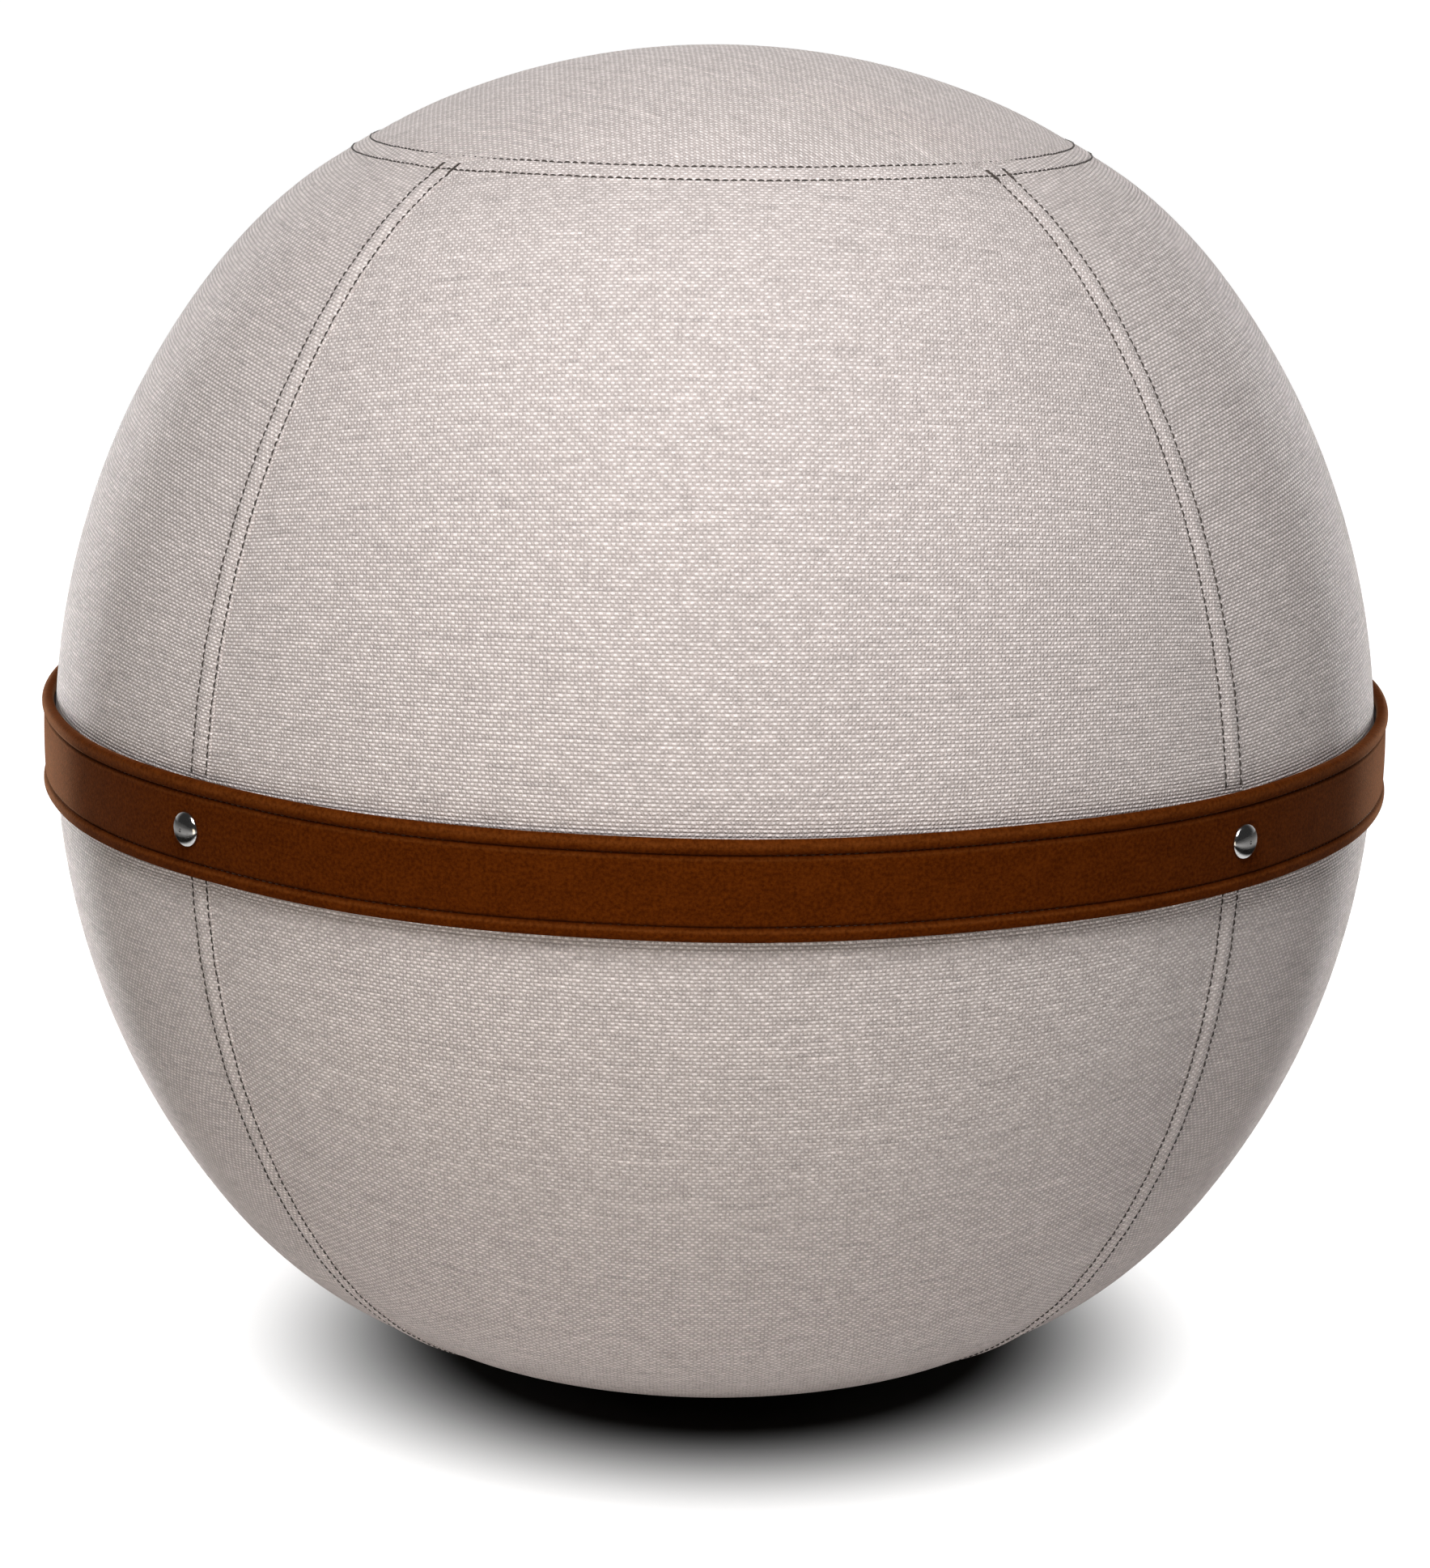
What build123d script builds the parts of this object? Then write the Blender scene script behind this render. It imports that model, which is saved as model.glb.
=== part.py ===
from build123d import *

import os
from math import asin, cos, degrees, radians, sin, sqrt

# A sitting ball: an inflated bladder in a sewn fabric cover of one round top panel and four
# side panels, with a riveted belt round its middle and a weighted, zipped base to stand on.
# Sizes are in millimetres. The floor is z = 0, the ball's axis is Z and its front faces -Y.

os.makedirs("parts", exist_ok=True)

# Outline of the cover, as arcs that run smoothly into each other
EQUATOR_RADIUS = 300.0
UPPER_SIDE_RADIUS = 344.0
SHOULDER_RADIUS = 228.0
LOWER_SIDE_RADIUS = 334.0
BELLY_RADIUS = 202.0
SHOULDER_ANGLE = 38.5
TOP_SEAM_ANGLE = 60.0
BELLY_ANGLE = -37.0
LIP_ANGLE = -75.0
LIP_WIDTH = 11.7

# Cover
COVER_THICKNESS = 2.0
PANEL_COUNT = 4
FIRST_SEAM_ANGLE = 45.0
SEAM_GAP = 0.4
FIT_GAP = 0.3
TAPE_THICKNESS = 0.8
TAPE_WIDTH = 24.0

# Bladder and valve
BLADDER_WALL = 1.5
BLADDER_HEEL_RADIUS = 40.0
VALVE_BORE_RADIUS = 4.55
VALVE_NECK_RADIUS = 7.9
VALVE_NECK_LENGTH = 12.0
VALVE_FLANGE_RADIUS = 13.0
VALVE_FLANGE_THICKNESS = 1.5
VALVE_HOLE_CLEARANCE = 0.2
PLUG_CLEARANCE = 0.05
PLUG_STEM_LENGTH = 10.0
PLUG_HEAD_RADIUS = 9.0
PLUG_HEAD_THICKNESS = 3.0
PLUG_NIB_RADIUS = 3.0
PLUG_NIB_LENGTH = 3.0

# Base and ballast
BASE_PANEL_THICKNESS = 3.0
GRIP_PAD_MARGIN = 8.0
GRIP_PAD_THICKNESS = 9.4
GRIP_PAD_EDGE = 2.5
GRIP_GROOVE_COUNT = 3
GRIP_GROOVE_WIDTH = 3.0
GRIP_GROOVE_DEPTH = 1.5
BALLAST_INNER_RADIUS = 26.0
BALLAST_MARGIN = 4.0
BALLAST_HEIGHT = 20.0
BALLAST_ROUNDING = 8.0
BALLAST_BAG_WALL = 1.0

# Zip round the back of the base, and the sewn band at its front
ZIP_MIDDLE_ANGLE = 90.0
ZIP_SPAN = 240.0
ZIP_SLOT = 14.0
ZIP_PARTING = 1.6
ZIP_TAPE_THICKNESS = 0.8
ZIP_TAPE_LAP = 10.0
COIL_WIDTH = 2.5
COIL_HEIGHT = 2.2
COIL_ROUNDING = 0.6
STOP_ARC = 1.2
STOP_HEIGHT = 0.9
STOP_OVERHANG = 0.8
SLIDER_ARC = 6.0
SLIDER_END_GAP = 0.5
SLIDER_CLEARANCE = 0.4
SLIDER_FLANGE = 1.1
SLIDER_OUTER_BLADE = 1.4
SLIDER_INNER_BLADE = 1.2
BAIL_LENGTH = 7.0
BAIL_WIDTH = 2.4
BAIL_OPENING_LENGTH = 4.0
BAIL_OPENING_HEIGHT = 2.4
BAIL_THICKNESS = 1.0
PULL_LENGTH = 26.0
PULL_WIDTH = 8.0
PULL_THICKNESS = 1.2
PULL_EYE_LENGTH = 4.4
PULL_EYE_WIDTH = 3.6
PULL_ROUNDING = 1.8
PULL_BAR_RADIUS = 0.8
PULL_BAR_LAP = 1.0

# Belt
BELT_RISE = 5.5
BELT_BAND_HEIGHT = 28.8
BELT_ROLL_HEIGHT = 6.3
BELT_ROLL_DEPTH = 5.2
BELT_ROLL_BEVEL = 1.5
BELT_FACE_THICKNESS = 1.4
BELT_CORE_THICKNESS = 1.8
BELT_LINING_THICKNESS = 1.1
BELT_SKIN = 1.2
CORD_CLEARANCE = 0.15

# Rivets
RIVET_CAP_RADIUS = 7.5
RIVET_CAP_RIM = 0.7
RIVET_CAP_HEIGHT = 3.8
RIVET_CAP_SOCKET = 1.5
RIVET_POST_RADIUS = 2.5
RIVET_POST_CLEARANCE = 0.1
RIVET_HEAD_RADIUS = 4.5
RIVET_HEAD_THICKNESS = 0.8
WASHER_RADIUS = 7.0
WASHER_THICKNESS = 0.8
RIVET_SEAT_GAP = 0.1


def towards(angle, length):
    """The sketch vector of this length at an angle above level, in degrees."""
    return Vector(length * cos(radians(angle)), length * sin(radians(angle)))


def half_plane(angle):
    """The upright plane that holds the ball's axis and looks out at this angle about it."""
    out = Vector(cos(radians(angle)), sin(radians(angle)), 0)
    return Plane(origin=(0, 0, 0), x_dir=out, z_dir=(out.Y, -out.X, 0))


# Levels of the base, from the floor: the base panel's top is level with the fabric's lip
BASE_PANEL_BOTTOM = GRIP_PAD_THICKNESS
LIP_TOP = BASE_PANEL_BOTTOM + BASE_PANEL_THICKNESS
LIP_BOTTOM = LIP_TOP - COVER_THICKNESS
ZIP_TAPE_TOP = LIP_TOP + ZIP_TAPE_THICKNESS
BALLAST_TOP = LIP_TOP + BALLAST_HEIGHT
BLADDER_BOTTOM = BALLAST_TOP + FIT_GAP

# Where the arcs of the outline have their centres, from the equator up and from it down
BELLY_REACH = towards(BELLY_ANGLE, LOWER_SIDE_RADIUS - BELLY_RADIUS)
LIP_REACH = BELLY_REACH + towards(LIP_ANGLE, BELLY_RADIUS)
EQUATOR_HEIGHT = LIP_BOTTOM - LIP_REACH.Y
UPPER_SIDE_CENTRE = Vector(EQUATOR_RADIUS - UPPER_SIDE_RADIUS, EQUATOR_HEIGHT)
SHOULDER_CENTRE = UPPER_SIDE_CENTRE + towards(SHOULDER_ANGLE, UPPER_SIDE_RADIUS - SHOULDER_RADIUS)
CAP_RADIUS = SHOULDER_RADIUS + SHOULDER_CENTRE.X / cos(radians(TOP_SEAM_ANGLE))
CAP_CENTRE = SHOULDER_CENTRE + towards(TOP_SEAM_ANGLE, SHOULDER_RADIUS - CAP_RADIUS)
LOWER_SIDE_CENTRE = Vector(EQUATOR_RADIUS - LOWER_SIDE_RADIUS, EQUATOR_HEIGHT)
BELLY_CENTRE = LOWER_SIDE_CENTRE + BELLY_REACH

# Radii of the base, going in from the edge of the fabric's lip
LIP_INNER_RADIUS = (LOWER_SIDE_CENTRE + LIP_REACH).X - LIP_WIDTH
BASE_PANEL_RADIUS = LIP_INNER_RADIUS - ZIP_SLOT
ZIP_CENTRE_RADIUS = LIP_INNER_RADIUS - ZIP_SLOT / 2
GRIP_PAD_RADIUS = BASE_PANEL_RADIUS - GRIP_PAD_MARGIN
BALLAST_OUTER_RADIUS = BASE_PANEL_RADIUS - ZIP_TAPE_LAP - BALLAST_MARGIN
ZIP_FIRST_ANGLE = ZIP_MIDDLE_ANGLE - ZIP_SPAN / 2

# Depths below the fabric's face, going in
TAPE_DEPTH = COVER_THICKNESS + FIT_GAP
WASHER_DEPTH = TAPE_DEPTH + TAPE_THICKNESS + FIT_GAP
RIVET_HEAD_DEPTH = WASHER_DEPTH + WASHER_THICKNESS
BLADDER_DEPTH = RIVET_HEAD_DEPTH + RIVET_HEAD_THICKNESS + FIT_GAP

# Radii of the belt, going out
BELT_INNER_RADIUS = EQUATOR_RADIUS + FIT_GAP
BELT_CORE_RADIUS = BELT_INNER_RADIUS + BELT_LINING_THICKNESS
BELT_BAND_RADIUS = BELT_CORE_RADIUS + BELT_CORE_THICKNESS
BELT_FACE_RADIUS = BELT_BAND_RADIUS + BELT_FACE_THICKNESS
BELT_HEIGHT = EQUATOR_HEIGHT + BELT_RISE
BELT_ROLL_CENTRE = (BELT_BAND_HEIGHT + BELT_ROLL_HEIGHT) / 2


def belly_angle_at(height, inset):
    """The angle at which the belly's arc, this far inside the fabric's face, passes a height."""
    return degrees(asin((height - BELLY_CENTRE.Y) / (BELLY_RADIUS - inset)))


def outline_arcs(inset, first, last):
    """Draws the ball's outline this far inside the fabric's face, between two angles above level.

    The arcs have their centres in common at every inset, so all the layers run parallel."""
    stretches = (
        (CAP_CENTRE, CAP_RADIUS, 90.0, TOP_SEAM_ANGLE),
        (SHOULDER_CENTRE, SHOULDER_RADIUS, TOP_SEAM_ANGLE, SHOULDER_ANGLE),
        (UPPER_SIDE_CENTRE, UPPER_SIDE_RADIUS, SHOULDER_ANGLE, 0.0),
        (LOWER_SIDE_CENTRE, LOWER_SIDE_RADIUS, 0.0, BELLY_ANGLE),
        (BELLY_CENTRE, BELLY_RADIUS, BELLY_ANGLE, -90.0),
    )
    for centre, radius, upper, lower in stretches:
        top = min(first, upper)
        bottom = max(last, lower)
        if top > bottom:
            CenterArc(centre, radius - inset, top, bottom - top)


def outline_point(inset, angle):
    """The point of the outline at an angle above level, this far inside the fabric's face."""
    if angle >= TOP_SEAM_ANGLE:
        return CAP_CENTRE + towards(angle, CAP_RADIUS - inset)
    if angle >= SHOULDER_ANGLE:
        return SHOULDER_CENTRE + towards(angle, SHOULDER_RADIUS - inset)
    if angle >= 0:
        return UPPER_SIDE_CENTRE + towards(angle, UPPER_SIDE_RADIUS - inset)
    if angle >= BELLY_ANGLE:
        return LOWER_SIDE_CENTRE + towards(angle, LOWER_SIDE_RADIUS - inset)
    return BELLY_CENTRE + towards(angle, BELLY_RADIUS - inset)


def layer_outline(depth, thickness, first, last):
    """Draws round the section of a layer of the cover between two angles, with square ends."""
    outline_arcs(depth, first, last)
    Line(outline_point(depth, last), outline_point(depth + thickness, last))
    outline_arcs(depth + thickness, first, last)
    Line(outline_point(depth, first), outline_point(depth + thickness, first))


def ring_section(inner, outer, bottom, top):
    """Draws a ring's section from its two radii and its two heights."""
    with Locations(((inner + outer) / 2, (bottom + top) / 2)):
        Rectangle(outer - inner, top - bottom)


def rivet_holes(radius):
    """Cuts a hole through the wall at each side seam, at the height of the belt."""
    with Locations((0, 0, BELT_HEIGHT)):
        with PolarLocations(EQUATOR_RADIUS, PANEL_COUNT, FIRST_SEAM_ANGLE):
            Cylinder(radius, 4 * BELT_ROLL_DEPTH, rotation=(0, 90, 0), mode=Mode.SUBTRACT)


def finish(piece, name):
    """Names a finished piece and writes it."""
    piece.part.label = name
    export_step(piece.part, f"parts/{name}.step")


HOLE_RADIUS = RIVET_POST_RADIUS + RIVET_POST_CLEARANCE
HALF_SEAM_GAP = degrees(SEAM_GAP / 2 / SHOULDER_RADIUS)
PANEL_ARC = 360.0 / PANEL_COUNT

# Top panel
with BuildPart() as cover_top_panel:
    with BuildSketch(Plane.XZ):
        with BuildLine():
            layer_outline(0, COVER_THICKNESS, 90.0, TOP_SEAM_ANGLE + HALF_SEAM_GAP)
        make_face()
    revolve(axis=Axis.Z)
finish(cover_top_panel, "cover_top_panel")

# Side panels, each ending below in a level lip that the zip or the sewn band lies on
SIDE_PANEL_NAMES = ("right", "back", "left", "front")
LIP_INNER_ANGLE = belly_angle_at(LIP_TOP, COVER_THICKNESS)
for number, side in enumerate(SIDE_PANEL_NAMES[:PANEL_COUNT]):
    start = FIRST_SEAM_ANGLE + (number - 1) * PANEL_ARC
    panel_top = TOP_SEAM_ANGLE - HALF_SEAM_GAP
    with BuildPart() as side_panel:
        with BuildSketch(half_plane(start)):
            with BuildLine():
                outline_arcs(0, panel_top, LIP_ANGLE)
                Polyline(
                    outline_point(0, LIP_ANGLE),
                    (LIP_INNER_RADIUS, LIP_BOTTOM),
                    (LIP_INNER_RADIUS, LIP_TOP),
                    outline_point(COVER_THICKNESS, LIP_INNER_ANGLE),
                )
                outline_arcs(COVER_THICKNESS, panel_top, LIP_INNER_ANGLE)
                Line(outline_point(COVER_THICKNESS, panel_top), outline_point(0, panel_top))
            make_face()
        revolve(axis=Axis.Z, revolution_arc=PANEL_ARC)
        rivet_holes(HOLE_RADIUS)
    finish(side_panel, f"cover_side_panel_{side}")

# Tape behind the top seam, sewn to the top panel
TAPE_HALF_ANGLE = degrees(TAPE_WIDTH / 2 / SHOULDER_RADIUS)
TOP_TAPE_TOP = TOP_SEAM_ANGLE + TAPE_HALF_ANGLE
TOP_TAPE_BOTTOM = TOP_SEAM_ANGLE - TAPE_HALF_ANGLE
with BuildPart() as top_seam_tape:
    with BuildSketch(Plane.XZ):
        with BuildLine():
            layer_outline(TAPE_DEPTH, TAPE_THICKNESS, TOP_TAPE_TOP, TOP_TAPE_BOTTOM)
        make_face()
    revolve(axis=Axis.Z)
finish(top_seam_tape, "top_seam_tape")

# Tapes behind the side seams, from below the top tape to above the lip, all of one width
SIDE_TAPE_TOP = TOP_TAPE_BOTTOM - TAPE_HALF_ANGLE / 2
SIDE_TAPE_BOTTOM = LIP_ANGLE + degrees(TAPE_WIDTH / BELLY_RADIUS)
SIDE_TAPE_BLANK_ARC = 2 * degrees(asin(TAPE_WIDTH / LIP_INNER_RADIUS))
with BuildPart() as one_side_tape:
    with BuildSketch(half_plane(-SIDE_TAPE_BLANK_ARC / 2)):
        with BuildLine():
            layer_outline(TAPE_DEPTH, TAPE_THICKNESS, SIDE_TAPE_TOP, SIDE_TAPE_BOTTOM)
        make_face()
    revolve(axis=Axis.Z, revolution_arc=SIDE_TAPE_BLANK_ARC)
    Box(
        EQUATOR_RADIUS,
        TAPE_WIDTH,
        EQUATOR_HEIGHT + CAP_RADIUS,
        align=(Align.MIN, Align.CENTER, Align.MIN),
        mode=Mode.INTERSECT,
    )
with BuildPart() as side_seam_tapes:
    with PolarLocations(0, PANEL_COUNT, FIRST_SEAM_ANGLE):
        add(one_side_tape.part)
    rivet_holes(HOLE_RADIUS)
finish(side_seam_tapes, "side_seam_tapes")

# Bladder, flattened where it sits on the ballast, with a hole there for the valve's neck
VALVE_HOLE_RADIUS = VALVE_NECK_RADIUS + VALVE_HOLE_CLEARANCE
BLADDER_INNER_DEPTH = BLADDER_DEPTH + BLADDER_WALL
BLADDER_FLOOR = BLADDER_BOTTOM + BLADDER_WALL
BLADDER_HEEL_ANGLE = belly_angle_at(BLADDER_BOTTOM, BLADDER_DEPTH)
BLADDER_FLOOR_ANGLE = belly_angle_at(BLADDER_FLOOR, BLADDER_INNER_DEPTH)
with BuildPart() as inner_ball:
    with BuildSketch(Plane.XZ) as bladder_section:
        with BuildLine():
            outline_arcs(BLADDER_DEPTH, 90.0, BLADDER_HEEL_ANGLE)
            Polyline(
                outline_point(BLADDER_DEPTH, BLADDER_HEEL_ANGLE),
                (VALVE_HOLE_RADIUS, BLADDER_BOTTOM),
                (VALVE_HOLE_RADIUS, BLADDER_FLOOR),
                outline_point(BLADDER_INNER_DEPTH, BLADDER_FLOOR_ANGLE),
            )
            outline_arcs(BLADDER_INNER_DEPTH, 90.0, BLADDER_FLOOR_ANGLE)
            Line(outline_point(BLADDER_DEPTH, 90.0), outline_point(BLADDER_INNER_DEPTH, 90.0))
        make_face()
        heels = (
            (outline_point(BLADDER_DEPTH, BLADDER_HEEL_ANGLE), BLADDER_HEEL_RADIUS),
            (outline_point(BLADDER_INNER_DEPTH, BLADDER_FLOOR_ANGLE), BLADDER_HEEL_RADIUS - BLADDER_WALL),
        )
        for corner, rounding in heels:
            fillet(bladder_section.vertices().sort_by_distance((corner.X, corner.Y, 0))[0], rounding)
    revolve(axis=Axis.Z)
finish(inner_ball, "inner_ball")

# Valve seat, set in the bladder's floor, and its plug
with BuildPart() as valve_seat:
    with BuildSketch(Plane.XZ):
        ring_section(VALVE_BORE_RADIUS, VALVE_NECK_RADIUS, BLADDER_BOTTOM, BLADDER_BOTTOM + VALVE_NECK_LENGTH)
        ring_section(
            VALVE_BORE_RADIUS, VALVE_FLANGE_RADIUS, BLADDER_FLOOR, BLADDER_FLOOR + VALVE_FLANGE_THICKNESS
        )
    revolve(axis=Axis.Z)
finish(valve_seat, "valve_seat")

with BuildPart() as valve_plug:
    with BuildSketch(Plane.XY.offset(BLADDER_BOTTOM)):
        Circle(VALVE_BORE_RADIUS - PLUG_CLEARANCE)
    extrude(amount=PLUG_STEM_LENGTH)
    with BuildSketch(Plane.XY.offset(BLADDER_BOTTOM)):
        Circle(PLUG_HEAD_RADIUS)
    extrude(amount=-PLUG_HEAD_THICKNESS)
    fillet(valve_plug.edges().filter_by(GeomType.CIRCLE).sort_by(Axis.Z)[0], PLUG_HEAD_THICKNESS / 3)
    with BuildSketch(Plane.XY.offset(BLADDER_BOTTOM - PLUG_HEAD_THICKNESS)):
        Circle(PLUG_NIB_RADIUS)
    extrude(amount=-PLUG_NIB_LENGTH)
finish(valve_plug, "valve_plug")

# Base panel and the grip pad under it, with ring grooves in the face that meets the floor
with BuildPart() as base_panel:
    with BuildSketch(Plane.XY.offset(BASE_PANEL_BOTTOM)):
        Circle(BASE_PANEL_RADIUS)
    extrude(amount=BASE_PANEL_THICKNESS)
finish(base_panel, "base_panel")

with BuildPart() as base_grip_pad:
    with BuildSketch(Plane.XY):
        Circle(GRIP_PAD_RADIUS)
    extrude(amount=GRIP_PAD_THICKNESS)
    fillet(base_grip_pad.edges().sort_by(Axis.Z)[0], GRIP_PAD_EDGE)
    with BuildSketch(Plane.XZ):
        for groove in range(GRIP_GROOVE_COUNT):
            inner = GRIP_PAD_RADIUS * (groove + 1) / (GRIP_GROOVE_COUNT + 1)
            ring_section(inner, inner + GRIP_GROOVE_WIDTH, 0, GRIP_GROOVE_DEPTH)
    revolve(axis=Axis.Z, mode=Mode.SUBTRACT)
finish(base_grip_pad, "base_grip_pad")

# Ballast: a ring-shaped bag round the valve, and its filling
BAG_INSET = BALLAST_BAG_WALL + FIT_GAP


def ballast_section(inset, mode):
    """Draws the ballast ring's rounded section, this far inside the bag's face."""
    centre = ((BALLAST_INNER_RADIUS + BALLAST_OUTER_RADIUS) / 2, LIP_TOP + BALLAST_HEIGHT / 2)
    width = BALLAST_OUTER_RADIUS - BALLAST_INNER_RADIUS - 2 * inset
    with Locations(centre):
        RectangleRounded(width, BALLAST_HEIGHT - 2 * inset, BALLAST_ROUNDING - inset, mode=mode)


with BuildPart() as ballast_bag:
    with BuildSketch(Plane.XZ):
        ballast_section(0, Mode.ADD)
        ballast_section(BALLAST_BAG_WALL, Mode.SUBTRACT)
    revolve(axis=Axis.Z)
finish(ballast_bag, "ballast_bag")

with BuildPart() as ballast_fill:
    with BuildSketch(Plane.XZ):
        ballast_section(BAG_INSET, Mode.ADD)
    revolve(axis=Axis.Z)
finish(ballast_fill, "ballast_fill")

# Zip: two tapes, each with its coil under the edge, and a stop across both at each end
COIL_BOTTOM = LIP_TOP - COIL_HEIGHT
INNER_TAPE_EDGE = ZIP_CENTRE_RADIUS - ZIP_PARTING / 2
OUTER_TAPE_EDGE = ZIP_CENTRE_RADIUS + ZIP_PARTING / 2
INNER_TAPE_RADIUS = BASE_PANEL_RADIUS - ZIP_TAPE_LAP
OUTER_TAPE_RADIUS = LIP_INNER_RADIUS + ZIP_TAPE_LAP
zip_strips = {
    "zip_tape_inner": (INNER_TAPE_RADIUS, INNER_TAPE_EDGE),
    "zip_tape_outer": (OUTER_TAPE_EDGE, OUTER_TAPE_RADIUS),
}
for name, (inner, outer) in zip_strips.items():
    with BuildPart() as zip_tape:
        with BuildSketch(half_plane(ZIP_FIRST_ANGLE)):
            ring_section(inner, outer, LIP_TOP, ZIP_TAPE_TOP)
        revolve(axis=Axis.Z, revolution_arc=ZIP_SPAN)
    finish(zip_tape, name)

zip_coils = {
    "zip_coil_inner": INNER_TAPE_EDGE - COIL_WIDTH,
    "zip_coil_outer": OUTER_TAPE_EDGE,
}
for name, inner in zip_coils.items():
    with BuildPart() as zip_coil:
        with BuildSketch(half_plane(ZIP_FIRST_ANGLE)) as coil_section:
            ring_section(inner, inner + COIL_WIDTH, COIL_BOTTOM, LIP_TOP)
            fillet(coil_section.vertices().group_by(Axis.Y)[0], COIL_ROUNDING)
        revolve(axis=Axis.Z, revolution_arc=ZIP_SPAN)
    finish(zip_coil, name)

STOP_INNER_RADIUS = INNER_TAPE_EDGE - COIL_WIDTH - STOP_OVERHANG
STOP_OUTER_RADIUS = OUTER_TAPE_EDGE + COIL_WIDTH + STOP_OVERHANG
with BuildPart() as zip_stops:
    for angle in (ZIP_FIRST_ANGLE, ZIP_FIRST_ANGLE + ZIP_SPAN - STOP_ARC):
        with BuildSketch(half_plane(angle)):
            ring_section(STOP_INNER_RADIUS, STOP_OUTER_RADIUS, COIL_BOTTOM - STOP_HEIGHT, COIL_BOTTOM)
        revolve(axis=Axis.Z, revolution_arc=STOP_ARC)
finish(zip_stops, "zip_stops")

# Sewn band that joins the base panel to the cover's lip where the zip doesn't
with BuildPart() as base_seam_band:
    with BuildSketch(half_plane(ZIP_FIRST_ANGLE + ZIP_SPAN)):
        ring_section(INNER_TAPE_RADIUS, OUTER_TAPE_RADIUS, LIP_TOP, ZIP_TAPE_TOP)
    revolve(axis=Axis.Z, revolution_arc=360.0 - ZIP_SPAN)
finish(base_seam_band, "base_seam_band")

# Zip slider: two blades joined by a keel that runs between the coils, and a bail for the pull
SLIDER_FIRST_ANGLE = ZIP_FIRST_ANGLE + STOP_ARC + SLIDER_END_GAP
SLIDER_ANGLE = SLIDER_FIRST_ANGLE + SLIDER_ARC / 2
SLIDER_INNER_RADIUS = INNER_TAPE_EDGE - COIL_WIDTH - SLIDER_CLEARANCE - SLIDER_FLANGE
SLIDER_OUTER_RADIUS = OUTER_TAPE_EDGE + COIL_WIDTH + SLIDER_CLEARANCE + SLIDER_FLANGE
OUTER_BLADE_TOP = COIL_BOTTOM - SLIDER_CLEARANCE
OUTER_BLADE_BOTTOM = OUTER_BLADE_TOP - SLIDER_OUTER_BLADE
INNER_BLADE_BOTTOM = ZIP_TAPE_TOP + SLIDER_CLEARANCE
INNER_BLADE_TOP = INNER_BLADE_BOTTOM + SLIDER_INNER_BLADE
FLANGE_TOP = LIP_TOP - SLIDER_CLEARANCE
KEEL_HALF_WIDTH = ZIP_PARTING / 2 - SLIDER_CLEARANCE
BAIL_BOTTOM = OUTER_BLADE_BOTTOM - BAIL_OPENING_HEIGHT - BAIL_THICKNESS
PULL_AXIS_HEIGHT = OUTER_BLADE_BOTTOM - BAIL_OPENING_HEIGHT / 2
slider_out = half_plane(SLIDER_ANGLE).x_dir
slider_along = -half_plane(SLIDER_ANGLE).z_dir
with BuildPart() as zip_slider:
    with BuildSketch(half_plane(SLIDER_FIRST_ANGLE)):
        ring_section(SLIDER_INNER_RADIUS, SLIDER_OUTER_RADIUS, OUTER_BLADE_BOTTOM, OUTER_BLADE_TOP)
        ring_section(SLIDER_INNER_RADIUS, SLIDER_INNER_RADIUS + SLIDER_FLANGE, OUTER_BLADE_BOTTOM, FLANGE_TOP)
        ring_section(SLIDER_OUTER_RADIUS - SLIDER_FLANGE, SLIDER_OUTER_RADIUS, OUTER_BLADE_BOTTOM, FLANGE_TOP)
        ring_section(
            ZIP_CENTRE_RADIUS - KEEL_HALF_WIDTH,
            ZIP_CENTRE_RADIUS + KEEL_HALF_WIDTH,
            OUTER_BLADE_BOTTOM,
            INNER_BLADE_TOP,
        )
        ring_section(SLIDER_INNER_RADIUS, SLIDER_OUTER_RADIUS, INNER_BLADE_BOTTOM, INNER_BLADE_TOP)
    revolve(axis=Axis.Z, revolution_arc=SLIDER_ARC)
    with BuildSketch(Plane(slider_out * (ZIP_CENTRE_RADIUS - BAIL_WIDTH / 2), slider_along, slider_out)):
        with Locations((0, (OUTER_BLADE_BOTTOM + BAIL_BOTTOM) / 2)):
            Rectangle(BAIL_LENGTH, OUTER_BLADE_BOTTOM - BAIL_BOTTOM)
        with Locations((0, PULL_AXIS_HEIGHT)):
            Rectangle(BAIL_OPENING_LENGTH, BAIL_OPENING_HEIGHT, mode=Mode.SUBTRACT)
    extrude(amount=BAIL_WIDTH)
finish(zip_slider, "zip_slider")

# Pull tab, whose round end bar turns in the bail. It lies along the zip, ahead of the slider
pull_place = slider_out * ZIP_CENTRE_RADIUS + Vector(0, 0, PULL_AXIS_HEIGHT)
PULL_BAR_LENGTH = PULL_EYE_WIDTH + 2 * PULL_BAR_LAP
with BuildPart() as zip_pull:
    with BuildSketch(Plane(pull_place, slider_along, (0, 0, 1))):
        with Locations((PULL_LENGTH / 2, 0)):
            RectangleRounded(PULL_LENGTH, PULL_WIDTH, PULL_ROUNDING)
        with Locations((PULL_EYE_LENGTH / 2, 0)):
            Rectangle(PULL_EYE_LENGTH, PULL_EYE_WIDTH, mode=Mode.SUBTRACT)
    extrude(amount=PULL_THICKNESS / 2, both=True)
    with Locations(Plane(pull_place, slider_along, slider_out)):
        Cylinder(PULL_BAR_RADIUS, PULL_BAR_LENGTH)
finish(zip_pull, "zip_pull")

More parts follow.
